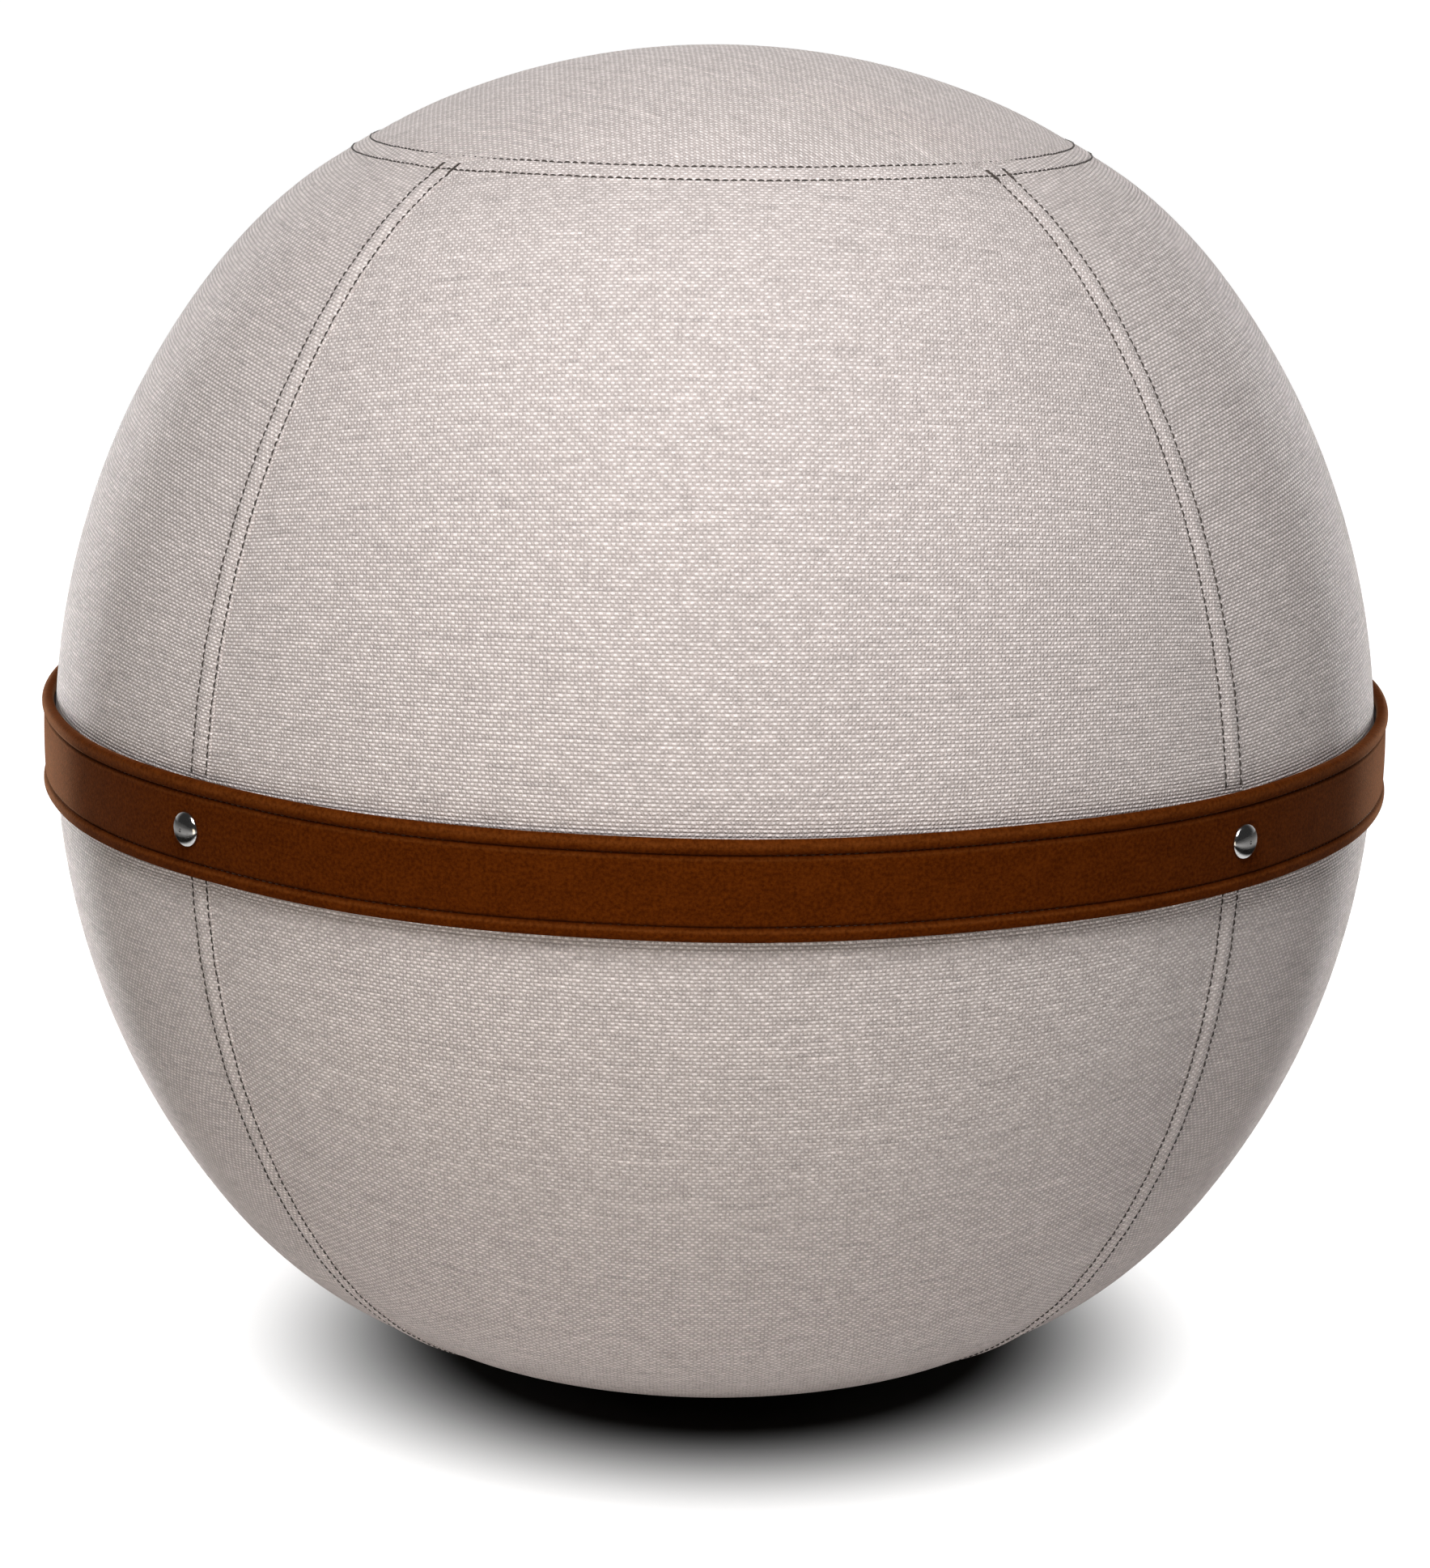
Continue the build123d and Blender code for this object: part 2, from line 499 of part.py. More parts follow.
# Belt: lining, core and face, with a cord in each rolled edge of the face
BAND_TOP = BELT_HEIGHT + BELT_BAND_HEIGHT / 2
BAND_BOTTOM = BELT_HEIGHT - BELT_BAND_HEIGHT / 2
ROLL_RADIUS = BELT_INNER_RADIUS + BELT_ROLL_DEPTH / 2
belt_layers = {
    "belt_lining": (BELT_INNER_RADIUS, BELT_CORE_RADIUS),
    "belt_core": (BELT_CORE_RADIUS, BELT_BAND_RADIUS),
}
for name, (inner, outer) in belt_layers.items():
    with BuildPart() as belt_layer:
        with BuildSketch(Plane.XZ):
            ring_section(inner, outer, BAND_BOTTOM, BAND_TOP)
        revolve(axis=Axis.Z)
        rivet_holes(HOLE_RADIUS)
    finish(belt_layer, name)



def roll_section(inset, mode):
    """Draws a rolled edge's section with cut corners, this far inside the face of the roll."""
    across = BELT_ROLL_DEPTH / 2 - inset
    up = BELT_ROLL_HEIGHT / 2 - inset
    bevel = BELT_ROLL_BEVEL - inset * (2 - sqrt(2))
    corners = ((across - bevel, up), (across, up - bevel), (across, bevel - up), (across - bevel, -up))
    Polygon(*corners, *((-x, -y) for x, y in corners), mode=mode)


with BuildPart() as belt_face:
    with BuildSketch(Plane.XZ):
        ring_section(BELT_BAND_RADIUS, BELT_FACE_RADIUS, BAND_BOTTOM - BELT_SKIN, BAND_TOP + BELT_SKIN)
        with Locations((ROLL_RADIUS, BELT_HEIGHT + BELT_ROLL_CENTRE), (ROLL_RADIUS, BELT_HEIGHT - BELT_ROLL_CENTRE)):
            roll_section(0, Mode.ADD)
            roll_section(BELT_SKIN, Mode.SUBTRACT)
    revolve(axis=Axis.Z)
    rivet_holes(HOLE_RADIUS)
finish(belt_face, "belt_face")

for name, rise in (("belt_upper_cord", BELT_ROLL_CENTRE), ("belt_lower_cord", -BELT_ROLL_CENTRE)):
    with BuildPart() as belt_cord:
        with BuildSketch(Plane.XZ):
            with Locations((ROLL_RADIUS, BELT_HEIGHT + rise)):
                roll_section(BELT_SKIN + CORD_CLEARANCE, Mode.ADD)
        revolve(axis=Axis.Z)
    finish(belt_cord, name)

# Rivets, each made along X at the belt's height and then turned to its seam
RIVET_AXIS = Axis((0, 0, BELT_HEIGHT), (1, 0, 0))
CAP_SEAT = BELT_FACE_RADIUS + RIVET_SEAT_GAP
CAP_RIM_TOP = CAP_SEAT + RIVET_CAP_RIM
WASHER_FACE = EQUATOR_RADIUS - WASHER_DEPTH
HEAD_FACE = EQUATOR_RADIUS - RIVET_HEAD_DEPTH
POST_END = CAP_SEAT + RIVET_CAP_SOCKET - RIVET_POST_CLEARANCE


def rivet_section(first, last, radius):
    """Draws half the section of a round piece on the rivet's axis, between two radii of the ball."""
    with Locations(((first + last) / 2, BELT_HEIGHT + radius / 2)):
        Rectangle(last - first, radius)


with BuildPart() as one_cap:
    with BuildSketch(Plane.XZ):
        with BuildLine():
            Polyline(
                (CAP_RIM_TOP, BELT_HEIGHT + RIVET_CAP_RADIUS),
                (CAP_SEAT, BELT_HEIGHT + RIVET_CAP_RADIUS),
                (CAP_SEAT, BELT_HEIGHT + HOLE_RADIUS),
                (CAP_SEAT + RIVET_CAP_SOCKET, BELT_HEIGHT + HOLE_RADIUS),
                (CAP_SEAT + RIVET_CAP_SOCKET, BELT_HEIGHT),
                (CAP_SEAT + RIVET_CAP_HEIGHT, BELT_HEIGHT),
            )
            TangentArc(
                (CAP_SEAT + RIVET_CAP_HEIGHT, BELT_HEIGHT),
                (CAP_RIM_TOP, BELT_HEIGHT + RIVET_CAP_RADIUS),
                tangent=(0, 1),
            )
        make_face()
    revolve(axis=RIVET_AXIS)

with BuildPart() as one_post:
    with BuildSketch(Plane.XZ):
        rivet_section(HEAD_FACE - RIVET_HEAD_THICKNESS, HEAD_FACE, RIVET_HEAD_RADIUS)
        rivet_section(HEAD_FACE, POST_END, RIVET_POST_RADIUS)
    revolve(axis=RIVET_AXIS)

with BuildPart() as one_washer:
    with BuildSketch(Plane.XZ):
        rivet_section(WASHER_FACE - WASHER_THICKNESS, WASHER_FACE, WASHER_RADIUS)
        with Locations((WASHER_FACE - WASHER_THICKNESS / 2, BELT_HEIGHT + HOLE_RADIUS / 2)):
            Rectangle(WASHER_THICKNESS, HOLE_RADIUS, mode=Mode.SUBTRACT)
    revolve(axis=RIVET_AXIS)

for name, single in (("rivet_caps", one_cap), ("rivet_posts", one_post), ("rivet_washers", one_washer)):
    with BuildPart() as rivet_set:
        with PolarLocations(0, PANEL_COUNT, FIRST_SEAM_ANGLE):
            add(single.part)
    finish(rivet_set, name)
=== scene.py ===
"""Looks of the sitting ball, in metres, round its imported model.

A sewn cover of one top panel and four side panels is stretched over the bladder, with twin
stitching along its seams. A leather belt with rolled edges goes round the middle, held by four
rivets, and the weighted base has a grip pad and a zip."""

import math

import bpy
import numpy as np
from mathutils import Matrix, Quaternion, Vector


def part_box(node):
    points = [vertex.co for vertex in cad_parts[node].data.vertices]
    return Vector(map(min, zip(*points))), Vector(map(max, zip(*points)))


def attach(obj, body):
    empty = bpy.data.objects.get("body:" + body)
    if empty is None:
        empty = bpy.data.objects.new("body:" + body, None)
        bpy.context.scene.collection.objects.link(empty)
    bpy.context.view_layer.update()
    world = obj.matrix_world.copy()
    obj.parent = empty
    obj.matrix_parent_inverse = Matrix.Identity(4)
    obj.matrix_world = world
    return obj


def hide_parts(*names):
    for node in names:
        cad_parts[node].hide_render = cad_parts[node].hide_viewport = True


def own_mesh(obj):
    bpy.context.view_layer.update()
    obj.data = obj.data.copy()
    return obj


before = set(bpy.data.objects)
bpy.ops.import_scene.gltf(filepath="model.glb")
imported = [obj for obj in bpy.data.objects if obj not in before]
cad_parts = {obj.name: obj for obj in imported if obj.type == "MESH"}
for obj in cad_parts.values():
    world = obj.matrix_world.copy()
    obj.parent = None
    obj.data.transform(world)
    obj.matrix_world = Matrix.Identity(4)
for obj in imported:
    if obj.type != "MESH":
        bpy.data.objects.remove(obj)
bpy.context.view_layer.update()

# Outline of the cover, as arcs that run smoothly into each other
EQUATOR_RADIUS = 0.300
UPPER_SIDE_RADIUS = 0.344
SHOULDER_RADIUS = 0.228
LOWER_SIDE_RADIUS = 0.334
BELLY_RADIUS = 0.202
SHOULDER_ANGLE = math.radians(38.5)
TOP_SEAM_ANGLE = math.radians(60.0)
BELLY_ANGLE = math.radians(-37.0)
LIP_ANGLE = math.radians(-75.0)
LIP_WIDTH = 0.0117
LIP_BOTTOM = 0.0104
BLADDER_BOTTOM = 0.0327
BLADDER_DEPTH = 0.0053
BLADDER_WALL = 0.0015
VALVE_HOLE_RADIUS = 0.0081

# Seams: half the gap between the twin stitch lines, and how far the folded edge laps past the seam
PANEL_COUNT = 4
PANEL_ARC = math.tau / PANEL_COUNT
FIRST_SEAM = math.radians(-45.0)
SIDE_LINE = 0.00485
SIDE_FOLD = 0.0062
TOP_LINE = 0.0047
TOP_FOLD = 0.0059
UNDER_EDGE = 0.003
STRIP_HEIGHT = 0.0006
STITCH_DIP = 0.00045
SEAM_CREST = 0.0005
CREST_HALF_WIDTH = 0.0019
SEAM_PULL = 0.0009
PUCKER = 0.00022
CLOTH_THICKNESS = 0.0012
SEAM_ZONE = 0.024
STRIP_RAMP = 0.0030
STRIP_RAMP_PAST_LINE = 0.0004
STRIP_EDGE_ROUNDING = 0.0009
UNDER_STITCH_WIDTH = 0.0010
OVER_STITCH_WIDTH = 0.0009
SIDE_PULL_WIDTH = 0.025
TOP_PULL_WIDTH = 0.022
PUCKER_AWAY = 0.010
PUCKER_WIDTH = 0.008
TOP_RIPPLE_PHASE = 0.4
BELT_PRESS_HALF = 0.019
BELT_FREE_HALF = 0.025

# Cloth: the lie of its weave, and the pitch of its rows and floats
WEFT_SAG = 0.38
TOP_WEFT_ANGLE = math.radians(42.0)
WEFT_PITCH = 0.00160
FLOAT_PITCH = 0.0031

# Belt, and the rivets on it
BELT_HEIGHT_OVER_EQUATOR = 0.0055
BELT_INNER_RADIUS = 0.3003
BELT_BACK_RADIUS = 0.3032
BELT_FACE_RADIUS = 0.3046
BELT_BAND_HALF = 0.0144
BELT_HALF = 0.0207
BELT_ROLL_DEPTH = 0.0052
BELT_CROWN = 0.0003
BELT_GROOVE_RADIUS = 0.30345
RIVET_RADIUS = 0.0075
RIVET_RIM = 0.0007
RIVET_HEIGHT = 0.0038
RIVET_SEAT_RADIUS = 0.3047

# Zip under the base
ZIP_FIRST_ANGLE = math.radians(-30.0)
ZIP_SPAN = math.radians(240.0)
ZIP_RADIUS = 0.1050
ZIP_PARTING = 0.0016
COIL_WIDTH = 0.0025
COIL_HEIGHT = 0.0022
COIL_TOP = 0.0124


def along(angle, length):
    """The radius and height of a step of this length at an angle above level."""
    return np.array([length * math.cos(angle), length * math.sin(angle)])


# Centres of the outline's arcs, each as a radius and a height
BELLY_REACH = along(BELLY_ANGLE, LOWER_SIDE_RADIUS - BELLY_RADIUS)
LIP_REACH = BELLY_REACH + along(LIP_ANGLE, BELLY_RADIUS)
EQUATOR_HEIGHT = LIP_BOTTOM - LIP_REACH[1]
UPPER_SIDE_CENTRE = np.array([EQUATOR_RADIUS - UPPER_SIDE_RADIUS, EQUATOR_HEIGHT])
SHOULDER_CENTRE = UPPER_SIDE_CENTRE + along(SHOULDER_ANGLE, UPPER_SIDE_RADIUS - SHOULDER_RADIUS)
CAP_RADIUS = SHOULDER_RADIUS + SHOULDER_CENTRE[0] / math.cos(TOP_SEAM_ANGLE)
CAP_CENTRE = SHOULDER_CENTRE + along(TOP_SEAM_ANGLE, SHOULDER_RADIUS - CAP_RADIUS)
LOWER_SIDE_CENTRE = np.array([EQUATOR_RADIUS - LOWER_SIDE_RADIUS, EQUATOR_HEIGHT])
BELLY_CENTRE = LOWER_SIDE_CENTRE + BELLY_REACH
OUTLINE_ARCS = (
    (CAP_CENTRE, CAP_RADIUS, math.pi / 2, TOP_SEAM_ANGLE),
    (SHOULDER_CENTRE, SHOULDER_RADIUS, TOP_SEAM_ANGLE, SHOULDER_ANGLE),
    (UPPER_SIDE_CENTRE, UPPER_SIDE_RADIUS, SHOULDER_ANGLE, 0.0),
    (LOWER_SIDE_CENTRE, LOWER_SIDE_RADIUS, 0.0, BELLY_ANGLE),
    (BELLY_CENTRE, BELLY_RADIUS, BELLY_ANGLE, LIP_ANGLE),
)
SEAM_LENGTH = CAP_RADIUS * (math.pi / 2 - TOP_SEAM_ANGLE)
LIP_LENGTH = sum(radius * (first - last) for _, radius, first, last in OUTLINE_ARCS)
HEM_LENGTH = LIP_LENGTH + LIP_WIDTH
BELT_HEIGHT = EQUATOR_HEIGHT + BELT_HEIGHT_OVER_EQUATOR


def outline(length):
    """Radius, height and facing angle of the cover, this far along it from the middle of the top."""
    length = np.asarray(length, float)
    radius = np.zeros_like(length)
    height = np.zeros_like(length)
    facing = np.zeros_like(length)
    begun = 0.0
    for centre, arc_radius, first, last in OUTLINE_ARCS:
        reached = length >= begun
        angle = first - (length - begun) / arc_radius
        radius = np.where(reached, centre[0] + arc_radius * np.cos(angle), radius)
        height = np.where(reached, centre[1] + arc_radius * np.sin(angle), height)
        facing = np.where(reached, angle, facing)
        begun += arc_radius * (first - last)
    on_lip = length > begun
    radius = np.where(on_lip, (LOWER_SIDE_CENTRE + LIP_REACH)[0] - (length - begun), radius)
    height = np.where(on_lip, LIP_BOTTOM, height)
    facing = np.where(on_lip, -math.pi / 2, facing)
    return radius, height, facing


def cover_surface(lengths, angles):
    """Points of the smooth cover at these lengths from the top and angles round it, and which way it faces."""
    radius, height, facing = outline(lengths)
    ground = np.stack([radius * np.cos(angles), radius * np.sin(angles), height + 0 * angles], -1)
    outward = np.stack(
        [np.cos(facing) * np.cos(angles), np.cos(facing) * np.sin(angles), np.sin(facing) + 0 * angles], -1
    )
    return ground, outward


def ease(low, high, value):
    """0 below low, 1 above high, and a smooth rise between them."""
    share = np.clip((value - low) / (high - low), 0.0, 1.0)
    return share * share * (3 - 2 * share)


def hump(value, width):
    """A bell curve that is 1 at 0."""
    return np.exp(-((value / width) ** 2))


def ripple(value, phase):
    """An uneven wave along a seam, with lengths of 12 to 27 mm."""
    long_wave = np.sin(math.tau * value / 0.027 + phase)
    middle_wave = np.sin(math.tau * value / 0.0183 + 2.1 * phase + 1.0)
    short_wave = np.sin(math.tau * value / 0.0121 + 3.7 * phase + 2.0)
    return (long_wave + middle_wave + 0.7 * short_wave) / 2


def beside_seam(away):
    """The share of a seam's puckers at this distance from it, most at a little way off."""
    return hump(np.abs(away) - PUCKER_AWAY, PUCKER_WIDTH)


def lapped_strip(across, line, fold):
    """Height of the doubled strip of a lapped seam, and the share of it drawn down by the stitches."""
    ramp = ease(-line - STRIP_RAMP, -line + STRIP_RAMP_PAST_LINE, across)
    edge = np.clip((across - fold + STRIP_EDGE_ROUNDING) / STRIP_EDGE_ROUNDING, 0.0, 1.0)
    strip = STRIP_HEIGHT * ramp * np.sqrt(1 - 0.96 * edge**2)
    dip = hump(across + line, UNDER_STITCH_WIDTH) + hump(across - line, OVER_STITCH_WIDTH)
    return strip, dip


def side_panel_face(lengths, angles, start):
    """Points of a side panel's face with its seams' relief, their normals and the share of painted highlight
    on its raised seam strip and crest.
    """
    radius, height, _ = outline(lengths)
    from_start = (angles - start) * radius
    from_end = (angles - start - PANEL_ARC) * radius
    from_top = lengths - SEAM_LENGTH
    clear_of_belt = ease(BELT_PRESS_HALF, BELT_FREE_HALF, np.abs(height - BELT_HEIGHT))
    side_strip, side_dip = lapped_strip(from_end, SIDE_LINE, SIDE_FOLD)
    top_strip, top_dip = lapped_strip(-from_top, TOP_LINE, TOP_FOLD)
    side_strip = side_strip * clear_of_belt
    strip = (side_strip**4 + top_strip**4) ** 0.25
    strip = strip + 0.00015 * ease(0.0, 0.003, from_end)
    crest = hump(from_end, CREST_HALF_WIDTH) * clear_of_belt * ease(0.004, 0.010, from_top)
    dips = np.maximum(side_dip * clear_of_belt, top_dip)
    pull = hump(from_start, SIDE_PULL_WIDTH) + hump(from_end, SIDE_PULL_WIDTH) + hump(from_top, TOP_PULL_WIDTH)
    beside = beside_seam(from_start) + beside_seam(from_end)
    puckers = beside * clear_of_belt * ripple(lengths, start)
    puckers = puckers + beside_seam(from_top) * ripple(angles * radius, TOP_RIPPLE_PHASE)
    relief = strip + SEAM_CREST * crest - STITCH_DIP * dips - SEAM_PULL * pull + PUCKER * puckers
    ground, outward = cover_surface(lengths, angles)
    return ground, outward, relief, 0.5 * strip / STRIP_HEIGHT + crest


def face_list(rows, columns, wrap):
    """Quads of a closed cloth of two layers, the outer one first, with a rim round its free edges."""
    count = rows * columns
    last = columns if wrap else columns - 1
    faces = []
    for row in range(rows - 1):
        for column in range(last):
            here = row * columns + column
            beside = row * columns + (column + 1) % columns
            faces.append((here, here + columns, beside + columns, beside))
            faces.append((here + count, beside + count, beside + columns + count, here + columns + count))
    bottom = (rows - 1) * columns
    for column in range(last):
        beside = (column + 1) % columns
        faces.append((column, beside, beside + count, column + count))
        faces.append((bottom + beside, bottom + column, bottom + column + count, bottom + beside + count))
    if not wrap:
        for row in range(rows - 1):
            left = row * columns
            right = left + columns - 1
            faces.append((left + columns, left, left + count, left + columns + count))
            faces.append((right, right + columns, right + columns + count, right + count))
    return faces


def new_piece(name, points, faces, smooth=True):
    """A mesh object of these points and faces, at the origin."""
    mesh = bpy.data.meshes.new(name)
    mesh.from_pydata(np.asarray(points).reshape(-1, 3).tolist(), [], faces)
    mesh.update()
    if smooth:
        mesh.polygons.foreach_set("use_smooth", [True] * len(mesh.polygons))
    piece = bpy.data.objects.new(name, mesh)
    bpy.context.scene.collection.objects.link(piece)
    return piece


def lay_weave(piece, flat):
    """Gives the piece a UV map named weave, in metres of cloth, from one place for each point."""
    corners = np.empty(len(piece.data.loops), np.int32)
    piece.data.loops.foreach_get("vertex_index", corners)
    layer = piece.data.uv_layers.new(name="weave")
    layer.data.foreach_set("uv", np.asarray(flat, np.float32)[corners].ravel())


def mark(piece, name, values):
    """Stores a number for each point of the piece, for its material."""
    attribute = piece.data.attributes.new(name, "FLOAT", "POINT")
    attribute.data.foreach_set("value", np.asarray(values, np.float32).ravel())


def turned(name, section, steps):
    """A closed ring with this section of radius and height, drawn anticlockwise, turned about the axis."""
    angles = np.linspace(0, math.tau, steps, endpoint=False)
    section = np.asarray(section)
    points = np.stack(
        [
            section[:, 0] * np.cos(angles)[:, None],
            section[:, 0] * np.sin(angles)[:, None],
            section[:, 1] + 0 * angles[:, None],
        ],
        -1,
    )
    size = len(section)
    faces = []
    for step in range(steps):
        following = (step + 1) % steps
        for corner in range(size):
            beside = (corner + 1) % size
            here = step * size
            there = following * size
            faces.append((here + corner, there + corner, there + beside, here + beside))
    return new_piece(name, points, faces), angles


# Node helpers
def add_node(tree, kind, inputs=None, **settings):
    """Adds a node with these settings, and sets or links its inputs."""
    node = tree.nodes.new(kind)
    for name, value in settings.items():
        setattr(node, name, value)
    for key, value in (inputs or {}).items():
        if isinstance(value, bpy.types.NodeSocket):
            tree.links.new(value, node.inputs[key])
        else:
            node.inputs[key].default_value = value
    return node


def calc(tree, operation, first, second=0.0, third=0.0):
    """The result of a Math node."""
    return add_node(tree, "ShaderNodeMath", {0: first, 1: second, 2: third}, operation=operation).outputs[0]


def rise(tree, value, low, high, least=0.0, most=1.0):
    """The value eased from least at low to most at high."""
    sockets = {"Value": value, "From Min": low, "From Max": high, "To Min": least, "To Max": most}
    return add_node(tree, "ShaderNodeMapRange", sockets, interpolation_type="SMOOTHSTEP").outputs[0]


def blend_colour(tree, share, first, second, way="MIX"):
    """The colour of a Mix node."""
    sockets = {0: share, 6: first, 7: second}
    return add_node(tree, "ShaderNodeMix", sockets, data_type="RGBA", blend_type=way).outputs[2]


def scaled(tree, vector, scale):
    """The vector multiplied by three numbers."""
    return add_node(tree, "ShaderNodeVectorMath", {0: vector, 1: scale}, operation="MULTIPLY").outputs[0]


def noise(tree, vector, scale, detail=2.0, roughness=0.5):
    """The value of a Noise Texture node."""
    sockets = {"Vector": vector, "Scale": scale, "Detail": detail, "Roughness": roughness}
    return add_node(tree, "ShaderNodeTexNoise", sockets).outputs["Fac"]


def new_group(name, inputs, outputs, kind="ShaderNodeTree"):
    """A node group with these sockets, its tree, what it is given and what it puts out."""
    tree = bpy.data.node_groups.new(name, kind)
    for label, socket_type, value in inputs:
        socket = tree.interface.new_socket(label, in_out="INPUT", socket_type=socket_type)
        if value is not None:
            socket.default_value = value
    for label, socket_type in outputs:
        tree.interface.new_socket(label, in_out="OUTPUT", socket_type=socket_type)
    return tree, tree.nodes.new("NodeGroupInput").outputs, tree.nodes.new("NodeGroupOutput").inputs


def place_group(tree, group, inputs):
    """Places a shader group in a material and returns its outputs."""
    return add_node(tree, "ShaderNodeGroup", inputs, node_tree=group).outputs


def wander(tree, given, scale, detail, reach):
    """How far a yarn strays from its place in the weave, from a noise of this scale."""
    stray = add_node(tree, "ShaderNodeTexNoise", {"Vector": given["Vector"], "Scale": scale, "Detail": detail})
    centred = add_node(
        tree, "ShaderNodeVectorMath", {0: stray.outputs["Color"], 1: (0.5, 0.5, 0.5)}, operation="SUBTRACT"
    )
    sized = {0: scaled(tree, centred.outputs[0], reach), "Scale": given["Wander"]}
    return add_node(tree, "ShaderNodeVectorMath", sized, operation="SCALE").outputs[0]


def make_woven_yarns():
    """Plain weave: short pale weft floats, each row set half a float along, with warp crossings between."""
    tree, given, out = new_group(
        "woven_yarns",
        [
            ("Vector", "NodeSocketVector", None),
            ("Row Pitch", "NodeSocketFloat", WEFT_PITCH),
            ("Float Pitch", "NodeSocketFloat", FLOAT_PITCH),
            ("Wander", "NodeSocketFloat", 0.0004),
        ],
        [
            ("Float", "NodeSocketFloat"),
            ("Crossing", "NodeSocketFloat"),
            ("Height", "NodeSocketFloat"),
            ("Tone", "NodeSocketFloat"),
        ],
    )
    waver = wander(tree, given, 140.0, 3.0, (0.8, 0.40, 0.0))
    jolt = wander(tree, given, 480.0, 1.0, (0.8, 0.34, 0.0))
    both = add_node(tree, "ShaderNodeVectorMath", {0: waver, 1: jolt}, operation="ADD")
    moved = add_node(tree, "ShaderNodeVectorMath", {0: given["Vector"], 1: both.outputs[0]}, operation="ADD")
    place = add_node(tree, "ShaderNodeSeparateXYZ", {0: moved.outputs[0]})
    rows = calc(tree, "DIVIDE", place.outputs["Y"], given["Row Pitch"])
    row = calc(tree, "FLOOR", rows)
    across = calc(tree, "MULTIPLY_ADD", calc(tree, "FRACT", rows), 2.0, -1.0)
    row_chance = add_node(tree, "ShaderNodeTexWhiteNoise", {"W": row}, noise_dimensions="1D").outputs["Value"]
    step = calc(tree, "MULTIPLY", calc(tree, "FLOORED_MODULO", row, 2.0), 0.5)
    shift = calc(tree, "MULTIPLY_ADD", row_chance, 0.10, step)
    floats = calc(tree, "ADD", calc(tree, "DIVIDE", place.outputs["X"], given["Float Pitch"]), shift)
    cell = calc(tree, "FLOOR", floats)
    length = calc(tree, "MULTIPLY_ADD", calc(tree, "FRACT", floats), 2.0, -1.0)
    corner = add_node(tree, "ShaderNodeCombineXYZ", {"X": cell, "Y": row})
    chance = add_node(tree, "ShaderNodeTexWhiteNoise", {"Vector": corner.outputs[0]}, noise_dimensions="2D")
    width_curve = calc(tree, "SUBTRACT", 1.0, calc(tree, "POWER", calc(tree, "ABSOLUTE", across), 2.0))
    along_float = calc(tree, "ABSOLUTE", length)
    float_reach = calc(tree, "MULTIPLY_ADD", chance.outputs["Value"], 0.30, 0.55)
    float_share = calc(tree, "DIVIDE", along_float, float_reach)
    float_curve = calc(tree, "SUBTRACT", 1.0, calc(tree, "POWER", float_share, 2.0))
    weft_root = calc(tree, "MULTIPLY", width_curve, calc(tree, "MAXIMUM", float_curve, 0.0))
    weft = calc(tree, "POWER", weft_root, 1.6)
    crossing_share = calc(tree, "DIVIDE", calc(tree, "SUBTRACT", 1.0, along_float), 0.45)
    crossing_curve = calc(tree, "SUBTRACT", 1.0, calc(tree, "POWER", crossing_share, 2.0))
    warp_root = calc(tree, "MULTIPLY", width_curve, calc(tree, "MAXIMUM", crossing_curve, 0.0))
    warp = calc(tree, "POWER", warp_root, 1.6)
    tree.links.new(rise(tree, weft, -0.1, 0.9), out["Float"])
    tree.links.new(rise(tree, warp, -0.1, 0.9), out["Crossing"])
    tree.links.new(calc(tree, "MAXIMUM", weft, calc(tree, "MULTIPLY", warp, 0.7)), out["Height"])
    yarn_place = add_node(
        tree,
        "ShaderNodeCombineXYZ",
        {"X": calc(tree, "MULTIPLY", place.outputs["X"], 38.0), "Y": calc(tree, "MULTIPLY", row, 7.31)},
    )
    yarn_chance = noise(tree, yarn_place.outputs[0], 1.0, 2.0)
    yarn_tone = calc(
        tree, "SUBTRACT", rise(tree, yarn_chance, 0.55, 0.72), rise(tree, yarn_chance, 0.28, 0.45, 1.0, 0.0)
    )
    float_tone = calc(tree, "MULTIPLY_ADD", chance.outputs["Value"], 0.3, 0.35)
    tree.links.new(calc(tree, "MULTIPLY_ADD", yarn_tone, 0.35, float_tone), out["Tone"])
    return tree


def make_mottle():
    """Cloudy change of colour at two scales."""
    tree, given, out = new_group(
        "mottle",
        [
            ("Vector", "NodeSocketVector", None),
            ("Scale", "NodeSocketFloat", 30.0),
            ("Fine Share", "NodeSocketFloat", 0.35),
            ("Dark", "NodeSocketColor", (0.1, 0.1, 0.1, 1.0)),
            ("Light", "NodeSocketColor", (0.2, 0.2, 0.2, 1.0)),
        ],
        [("Colour", "NodeSocketColor"), ("Cloud", "NodeSocketFloat")],
    )
    broad = noise(tree, given["Vector"], given["Scale"], 3.0, 0.6)
    fine = noise(tree, given["Vector"], calc(tree, "MULTIPLY", given["Scale"], 7.0), 3.0, 0.6)
    both = add_node(tree, "ShaderNodeMix", {0: given["Fine Share"], 2: broad, 3: fine}).outputs[0]
    cloud = rise(tree, both, 0.3, 0.7)
    tree.links.new(blend_colour(tree, cloud, given["Dark"], given["Light"]), out["Colour"])
    tree.links.new(cloud, out["Cloud"])
    return tree


